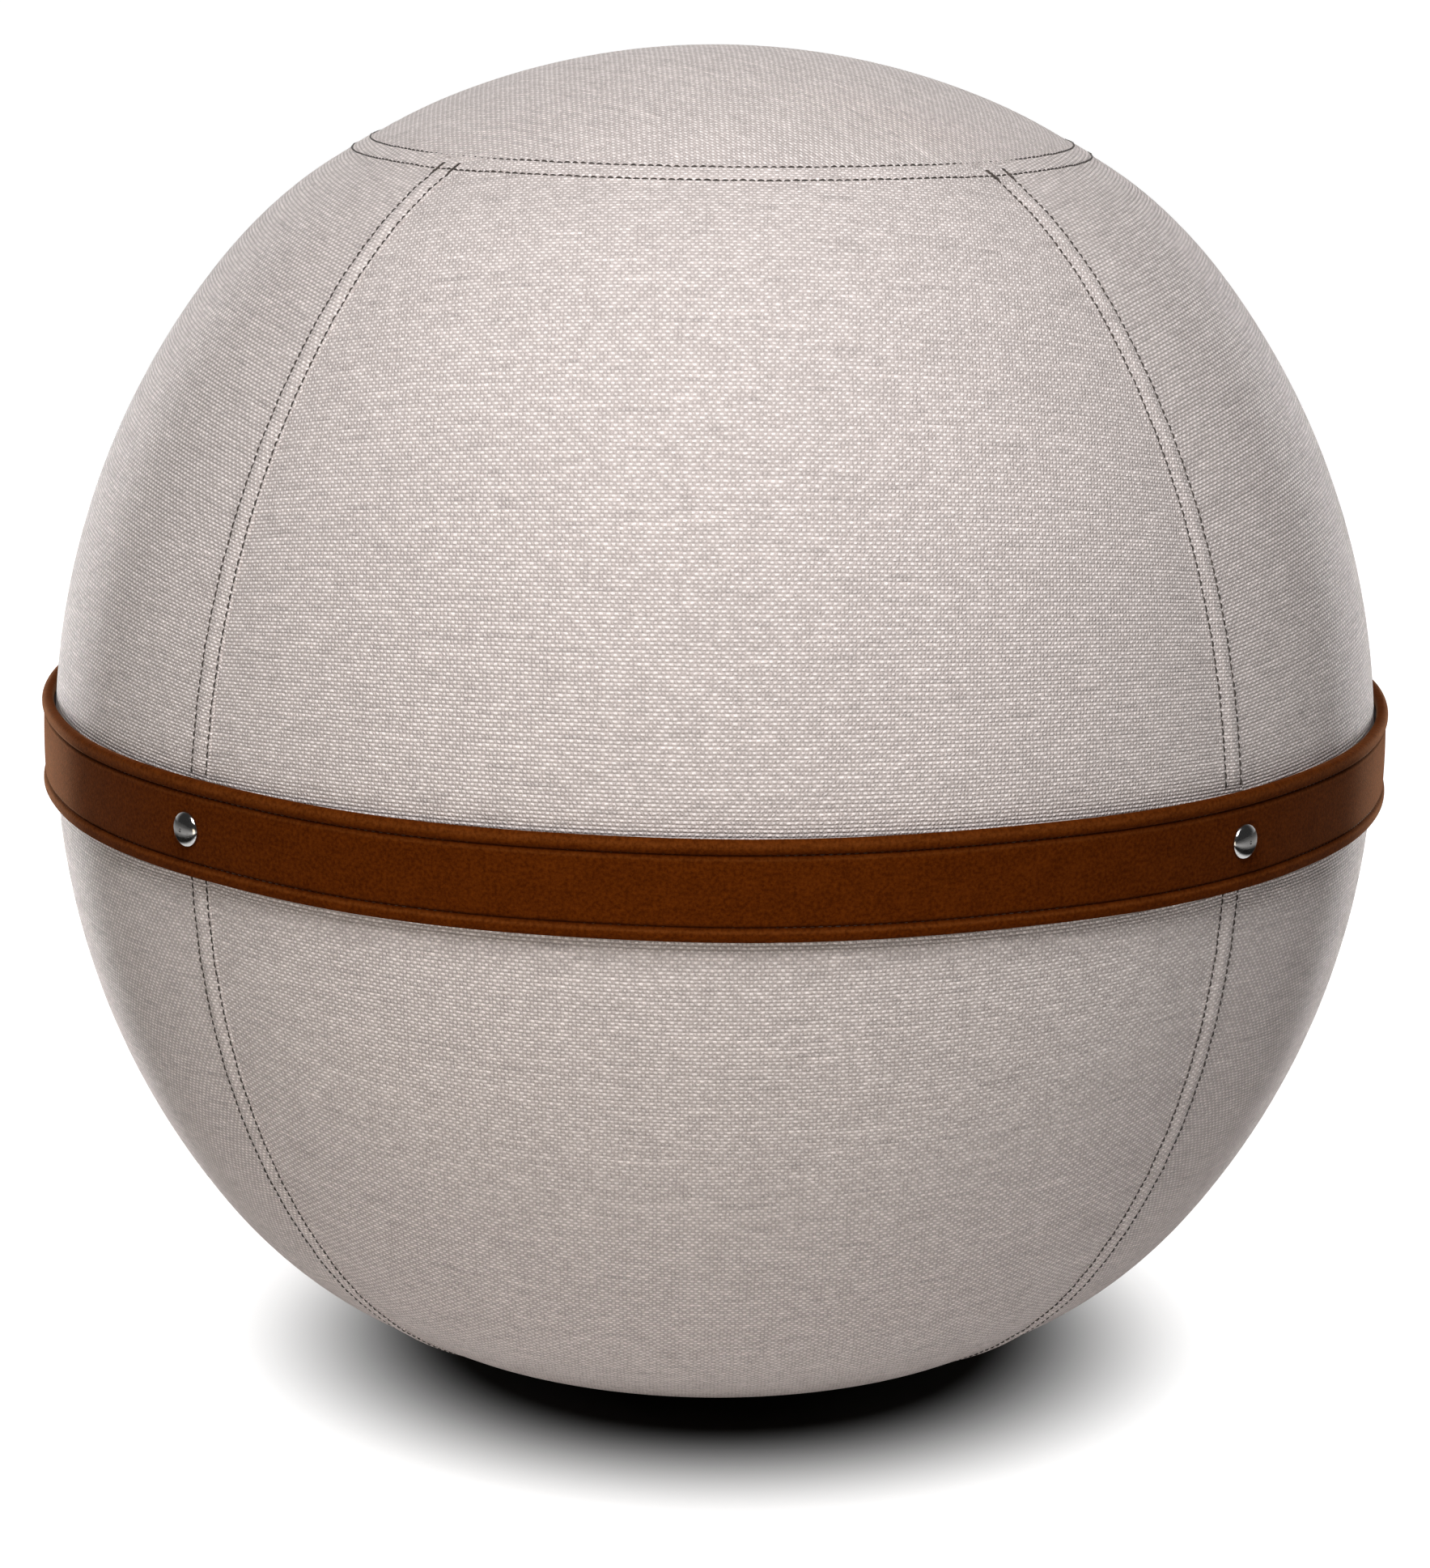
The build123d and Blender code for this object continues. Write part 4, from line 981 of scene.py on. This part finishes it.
def make_cap_ring():
    """Sets the carrier's own dome at even steps round the ball's axis, facing out."""
    tree, given, out = new_group(
        "cap_ring",
        [
            ("Dome", "NodeSocketGeometry", None),
            ("Count", "NodeSocketInt", PANEL_COUNT),
            ("Ring Radius", "NodeSocketFloat", RIVET_SEAT_RADIUS),
            ("Ring Height", "NodeSocketFloat", 0.29),
            ("First Angle", "NodeSocketFloat", FIRST_SEAM),
            ("Finish", "NodeSocketMaterial", None),
        ],
        [("Caps", "NodeSocketGeometry")],
        "GeometryNodeTree",
    )
    ring = add_node(
        tree, "GeometryNodeMeshCircle", {"Vertices": given["Count"], "Radius": given["Ring Radius"]}
    )
    lift = add_node(tree, "ShaderNodeCombineXYZ", {"Z": given["Ring Height"]})
    angle = add_node(tree, "ShaderNodeCombineXYZ", {"Z": given["First Angle"]})
    placed = add_node(
        tree,
        "GeometryNodeTransform",
        {"Geometry": ring.outputs[0], "Translation": lift.outputs[0], "Rotation": angle.outputs[0]},
    )
    position = add_node(tree, "GeometryNodeInputPosition")
    level = scaled(tree, position.outputs[0], (1.0, 1.0, 0.0))
    turn = add_node(
        tree,
        "FunctionNodeAxesToRotation",
        {0: level, 1: (0.0, 0.0, 1.0)},
        primary_axis="Z",
        secondary_axis="Y",
    )
    caps = add_node(
        tree,
        "GeometryNodeInstanceOnPoints",
        {"Points": placed.outputs[0], "Instance": given["Dome"], "Rotation": turn.outputs[0]},
    )
    real = add_node(tree, "GeometryNodeRealizeInstances", {0: caps.outputs[0]})
    finished = add_node(
        tree, "GeometryNodeSetMaterial", {"Geometry": real.outputs[0], "Material": given["Finish"]}
    )
    tree.links.new(finished.outputs[0], out["Caps"])
    return tree


loop_rows = make_loop_rows()
cap_ring = make_cap_ring()


def grown(name, carrier, tree, values):
    """Runs a Geometry Nodes tree on the carrier and keeps its result as a plain mesh piece."""
    modifier = carrier.modifiers.new(name, "NODES")
    modifier.node_group = tree
    for item in tree.interface.items_tree:
        if item.in_out == "INPUT" and item.name in values:
            modifier[item.identifier] = values[item.name]
    graph = bpy.context.evaluated_depsgraph_get()
    mesh = bpy.data.meshes.new_from_object(carrier.evaluated_get(graph))
    carrier.modifiers.remove(modifier)
    bpy.data.objects.remove(carrier)
    mesh.name = name
    piece = bpy.data.objects.new(name, mesh)
    bpy.context.scene.collection.objects.link(piece)
    return piece


def line_carrier(name, lines):
    """A mesh of open lines, each given as its points, its outward and its forward directions."""
    points = np.concatenate([line[0] for line in lines])
    edges = []
    first = 0
    for line in lines:
        count = len(line[0])
        edges += [(first + step, first + step + 1) for step in range(count - 1)]
        first += count
    mesh = bpy.data.meshes.new(name)
    mesh.from_pydata(points.tolist(), edges, [])
    for label, column in (("outward", 1), ("forward", 2)):
        attribute = mesh.attributes.new(label, "FLOAT_VECTOR", "POINT")
        values = np.concatenate([line[column] for line in lines])
        attribute.data.foreach_set("vector", values.astype(np.float32).ravel())
    carrier = bpy.data.objects.new(name, mesh)
    bpy.context.scene.collection.objects.link(carrier)
    return carrier


def looped(name, lines, pitch, length, arch, thread_radius, seed, finish):
    """A piece of small loops of thread or wire, set along these lines."""
    values = {
        "Pitch": pitch,
        "Loop Length": length,
        "Arch": arch,
        "Thread Radius": thread_radius,
        "Seed": seed,
        "Finish": finish,
    }
    return grown(name, line_carrier(f"{name}_lines", lines), loop_rows, values)


def cover_line(lengths, angles, start, lift):
    """A line on a side panel's face, lifted off it, with its outward and forward directions."""
    ground, outward, relief, _ = side_panel_face(lengths, angles, start)
    points = ground + (relief + lift)[..., None] * outward
    return points, outward, np.gradient(points, axis=0)


STITCH_PITCH = 0.0036
STITCH_LENGTH = 0.0029
STITCH_LIFT = 0.00010
THREAD_RADIUS = 0.00036

# Twin stitch lines of the side seams, which stop at the belt and cross the lower line of the top seam
SIDE_STITCH_FIRST = SEAM_LENGTH + TOP_LINE - 0.003
STITCH_BELT_GAP = 0.0215
seam_lengths = np.arange(SIDE_STITCH_FIRST, HEM_LENGTH - 0.004, 0.002)
seam_heights = outline(seam_lengths)[1]
stretches = (
    seam_lengths[seam_heights > BELT_HEIGHT + STITCH_BELT_GAP],
    seam_lengths[seam_heights < BELT_HEIGHT - STITCH_BELT_GAP],
)
seam_lines = []
tack_lines = []
for start in panel_starts.values():
    for side_step in (-SIDE_LINE, SIDE_LINE):
        for lengths in stretches:
            radius = outline(lengths)[0]
            seam_lines.append(cover_line(lengths, start + PANEL_ARC + side_step / radius, start, STITCH_LIFT))
        lengths = np.linspace(SIDE_STITCH_FIRST, SIDE_STITCH_FIRST + 0.0055, 5)
        radius = outline(lengths)[0]
        angles = start + PANEL_ARC + (side_step + 0.0003) / radius
        tack_lines.append(cover_line(lengths, angles, start, 2.5 * STITCH_LIFT))

# Twin stitch lines of the top seam, panel by panel
for start in panel_starts.values():
    for top_step in (-TOP_LINE, TOP_LINE):
        length = SEAM_LENGTH + top_step
        radius = float(outline(length)[0])
        reach = SIDE_FOLD / radius
        angles = np.linspace(start + reach, start + PANEL_ARC + reach, 130)
        seam_lines.append(cover_line(np.full(angles.shape, length), angles, start, STITCH_LIFT))

seam_stitches = looped(
    "seam_stitches", seam_lines, STITCH_PITCH, STITCH_LENGTH, 0.00045, THREAD_RADIUS, 5, seam_thread
)
flatten_with_seat(seam_stitches)

seam_tacks = looped("seam_end_tacks", tack_lines, 0.0018, 0.0034, 0.0005, 0.00045, 11, seam_thread)
flatten_with_seat(seam_tacks)

# Stitching sunk in the belt's two grooves
belt_lines = []
belt_turns = np.linspace(0, math.tau, 361)
belt_out = np.stack([np.cos(belt_turns), np.sin(belt_turns), 0 * belt_turns], -1)
belt_forward = np.stack([-np.sin(belt_turns), np.cos(belt_turns), 0 * belt_turns], -1)
for side_step in (-BELT_BAND_HALF, BELT_BAND_HALF):
    belt_line = belt_out * (BELT_GROOVE_RADIUS + 0.00005)
    belt_line[:, 2] = BELT_HEIGHT + side_step + belt_sway(belt_turns)
    belt_lines.append((belt_line, belt_out, belt_forward))
belt_stitches = looped("belt_stitches", belt_lines, 0.0034, 0.0029, 0.00035, 0.00034, 7, belt_thread)
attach(belt_stitches, "belt")


# Rivet caps: one dome, set at the four seams
def dome_section():
    """Section of a rivet cap along its own axis, from its seat round the rim to its crown."""
    rounding = np.linspace(0.0, math.pi / 2, 12)
    crown = np.stack(
        [RIVET_RADIUS * np.cos(rounding), RIVET_RIM + (RIVET_HEIGHT - RIVET_RIM) * np.sin(rounding)], -1
    )
    crown[-1, 0] = 0.00012
    seat = np.array([[0.0030, 0.0], [RIVET_RADIUS - 0.0003, 0.0], [RIVET_RADIUS, 0.0003]])
    socket = np.array([[0.00012, 0.0012], [0.0026, 0.0010]])
    return np.concatenate([seat, crown, socket])


rivet_dome, _ = turned("rivet_dome", dome_section(), 40)
rivet_caps = grown(
    "rivet_domes",
    rivet_dome,
    cap_ring,
    {
        "Count": PANEL_COUNT,
        "Ring Radius": RIVET_SEAT_RADIUS,
        "Ring Height": BELT_HEIGHT,
        "First Angle": FIRST_SEAM,
        "Finish": rivet_nickel,
    },
)
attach(rivet_caps, "belt")
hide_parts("rivet_caps")

# Zip coils: loops of nylon across each tape's edge
zip_turns = np.linspace(ZIP_FIRST_ANGLE, ZIP_FIRST_ANGLE + ZIP_SPAN, 241)
zip_out = np.stack([np.cos(zip_turns), np.sin(zip_turns), 0 * zip_turns], -1)
zip_down = np.tile((0.0, 0.0, -1.0), (len(zip_turns), 1))
for coil, side_step in (("inner", -1), ("outer", 1)):
    coil_radius = ZIP_RADIUS + side_step * (ZIP_PARTING + COIL_WIDTH) / 2
    coil_line = zip_out * coil_radius
    coil_line[:, 2] = COIL_TOP - COIL_HEIGHT * 0.55
    coil_lines = [(coil_line, zip_down, zip_out)]
    coil_loops = looped(
        f"zip_coil_loops_{coil}", coil_lines, 0.0015, COIL_WIDTH, 0.0006, 0.00045, 13, zip_nylon
    )
    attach(coil_loops, "ball")
    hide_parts(f"zip_coil_{coil}")

# CAD pieces whose shape stays
for node in ("rivet_posts", "rivet_washers"):
    dress(node, rivet_nickel)
for node in ("zip_slider", "zip_pull", "zip_stops"):
    dress(node, zip_metal)
for node in ("zip_tape_inner", "zip_tape_outer"):
    dress(node, zip_tape_cloth)
for node in ("top_seam_tape", "base_seam_band"):
    dress(node, tape_cloth)
for node in ("belt_core", "belt_upper_cord", "belt_lower_cord"):
    dress(node, belt_webbing)
for node in ("valve_seat", "valve_plug"):
    dress(node, valve_plastic)
dress("belt_lining", belt_backing)
dress("base_panel", base_board)
dress("base_grip_pad", grip_rubber)
dress("ballast_bag", ballast_cloth)
dress("ballast_fill", ballast_granules)

# Floor: pale, white to the camera away from the ball, with a painted shadow round the base over the ball's own
# cast shadow, and painted light and dark rings that reflections see
FLOOR_HALF = 20.0
FLOOR_PALE = (0.80, 0.79, 0.78, 1.0)
FLOOR_SEEN = (0.30, 0.295, 0.29, 1.0)
FLOOR_PAINTED_SHADE = (0.02, 0.019, 0.018, 1.0)
SHADOW_CENTRE = (0.005, -0.006, 0.0)
SHADOW_INNER = 0.131
SHADOW_OUTER = 0.258
SHADOW_SQUEEZE = (1.03, 1.0, 0.0)
floor = new_piece(
    "floor",
    [
        (-FLOOR_HALF, -FLOOR_HALF, 0.0),
        (FLOOR_HALF, -FLOOR_HALF, 0.0),
        (FLOOR_HALF, FLOOR_HALF, 0.0),
        (-FLOOR_HALF, FLOOR_HALF, 0.0),
    ],
    [(0, 1, 2, 3)],
    smooth=False,
)
floor_paint = bpy.data.materials.new("floor_paint")
floor_paint.use_nodes = True
floor_tree = floor_paint.node_tree
floor_tree.nodes.clear()
floor_place = scaled(floor_tree, place_of(floor_tree), SHADOW_SQUEEZE)
floor_away = add_node(
    floor_tree, "ShaderNodeVectorMath", {0: floor_place, 1: SHADOW_CENTRE}, operation="DISTANCE"
).outputs["Value"]
# Painted shadow: round the base the floor's glow and colour are painted dark, fading out between SHADOW_INNER
# and SHADOW_OUTER, on top of the ball's own cast shadow.
painted_shadow_fade = rise(floor_tree, floor_away, SHADOW_INNER, SHADOW_OUTER)
# Painted reflections: glossy rays see the floor glow only out to 0.46 to 0.62 m from the base, and see it
# painted dark out to 0.8 m, turning pale by 1.2 m, which puts a painted bright ring and a painted dark ring in
# the metal.
painted_reflection_glow = rise(floor_tree, floor_away, 0.46, 0.62, 1.0, 0.0)
painted_reflection_dark = rise(floor_tree, floor_away, 0.80, 1.20, 1.0, 0.0)
floor_rays = add_node(floor_tree, "ShaderNodeLightPath").outputs
floor_mirrored = calc(floor_tree, "MAXIMUM", floor_rays["Is Glossy Ray"], floor_rays["Is Transmission Ray"])
floor_mirrored = calc(floor_tree, "MULTIPLY", floor_mirrored, painted_reflection_glow)
floor_seen = calc(floor_tree, "MAXIMUM", floor_rays["Is Camera Ray"], floor_mirrored)
floor_glow = add_node(
    floor_tree, "ShaderNodeEmission", {"Strength": calc(floor_tree, "MULTIPLY", floor_seen, painted_shadow_fade)}
)
painted_reflection_shade = calc(floor_tree, "MULTIPLY", floor_rays["Is Glossy Ray"], painted_reflection_dark)
floor_lit = blend_colour(floor_tree, painted_reflection_shade, FLOOR_PALE, FLOOR_PAINTED_SHADE)
painted_shadow_colour = blend_colour(floor_tree, painted_shadow_fade, FLOOR_PAINTED_SHADE, FLOOR_SEEN)
floor_colour = blend_colour(floor_tree, floor_rays["Is Camera Ray"], floor_lit, painted_shadow_colour)
floor_matt = add_node(floor_tree, "ShaderNodeBsdfDiffuse", {"Color": floor_colour})
floor_both = add_node(floor_tree, "ShaderNodeAddShader", {0: floor_matt.outputs[0], 1: floor_glow.outputs[0]})
add_node(floor_tree, "ShaderNodeOutputMaterial", {"Surface": floor_both.outputs[0]})
floor.data.materials.append(floor_paint)

# World: a white backdrop behind the ball, and a dim room in front of it
ROOM_LIGHT = 0.04
BACKDROP_LIGHT = 0.9
world = bpy.data.worlds.new("studio")
bpy.context.scene.world = world
world.use_nodes = True
world_tree = world.node_tree
world_tree.nodes.clear()
world_rays = add_node(world_tree, "ShaderNodeLightPath").outputs
world_place = add_node(world_tree, "ShaderNodeTexCoord").outputs["Generated"]
world_way = add_node(world_tree, "ShaderNodeSeparateXYZ", {0: world_place})
world_behind = rise(world_tree, world_way.outputs["Y"], 0.20, 1.0)
world_low = rise(world_tree, world_way.outputs["Z"], 0.20, 0.75, 1.0, 0.25)
world_share = calc(world_tree, "MULTIPLY", world_behind, world_low)
world_level = calc(world_tree, "MULTIPLY_ADD", world_share, BACKDROP_LIGHT - ROOM_LIGHT, ROOM_LIGHT)
world_strength = calc(world_tree, "MAXIMUM", world_rays["Is Camera Ray"], world_level)
world_glow = add_node(world_tree, "ShaderNodeBackground", {"Strength": world_strength})
world_glow.inputs["Color"].default_value = (1.0, 1.0, 1.0, 1.0)
add_node(world_tree, "ShaderNodeOutputWorld", {"Surface": world_glow.outputs[0]})


def soft_box(name, place, aim, size, power, colour=(1.0, 1.0, 1.0)):
    """A square studio lamp at a place, turned towards a point."""
    lamp = bpy.data.lights.new(name, "AREA")
    lamp.shape = "SQUARE"
    lamp.size = size
    lamp.energy = power
    lamp.color = colour
    holder = bpy.data.objects.new(name, lamp)
    bpy.context.scene.collection.objects.link(holder)
    holder.location = place
    holder.rotation_mode = "QUATERNION"
    holder.rotation_quaternion = (Vector(aim) - Vector(place)).to_track_quat("-Z", "Y")
    return lamp


STRIP_SPREAD = math.radians(20.0)


def strip_box(name, place, aim, width, height, power):
    """A tall narrow lamp behind a grid, which lets little of its light stray from where it aims."""
    lamp = soft_box(name, place, aim, width, power)
    lamp.shape = "RECTANGLE"
    lamp.size_y = height
    lamp.spread = STRIP_SPREAD


soft_box("key_box", (-0.06, -1.05, 1.45), (0.0, 0.0, 0.35), 0.8, 24.3)
soft_box("floor_bounce", (-0.30, -0.95, 0.05), (0.0, 0.0, 0.08), 0.5, 1.3, (1.0, 0.88, 0.70))
soft_box("back_box", (0.0, 1.90, 0.90), (0.0, 0.40, 0.12), 0.8, 15.0)
strip_box("left_rim_strip", (-1.35, 1.92, 0.35), (-0.475, -0.10, 0.33), 0.25, 0.9, 2.6)
strip_box("right_rim_strip", (1.35, 1.92, 0.35), (0.475, -0.10, 0.33), 0.25, 0.9, 2.2)
strip_box("left_low_strip", (-1.35, 1.92, 0.14), (-0.33, -0.10, 0.10), 0.25, 0.25, 1.0)
strip_box("right_low_strip", (1.35, 1.92, 0.14), (0.33, -0.10, 0.10), 0.25, 0.25, 0.6)

# Camera at the photographed angle
CAMERA_AIM = Vector((0.0, 0.0, 0.285))
CAMERA_DISTANCE = 1.830
CAMERA_TURN = math.radians(-0.25)
CAMERA_RISE = math.radians(12.64)
CAMERA_ROLL = math.radians(0.72)
camera_back = Vector(
    (
        math.sin(CAMERA_TURN) * math.cos(CAMERA_RISE),
        -math.cos(CAMERA_TURN) * math.cos(CAMERA_RISE),
        math.sin(CAMERA_RISE),
    )
)
camera_lens = bpy.data.cameras.new("camera")
camera_lens.lens = 91.1
camera_lens.sensor_width = 36.0
camera_lens.shift_x = 0.0002
camera_lens.shift_y = -0.0329
camera = bpy.data.objects.new("camera", camera_lens)
bpy.context.scene.collection.objects.link(camera)
camera.location = CAMERA_AIM + camera_back * CAMERA_DISTANCE
camera.rotation_mode = "QUATERNION"
camera.rotation_quaternion = (-camera_back).to_track_quat("-Z", "Y") @ Quaternion((0, 0, 1), CAMERA_ROLL)
bpy.context.scene.camera = camera
bpy.context.scene.view_settings.view_transform = "Standard"
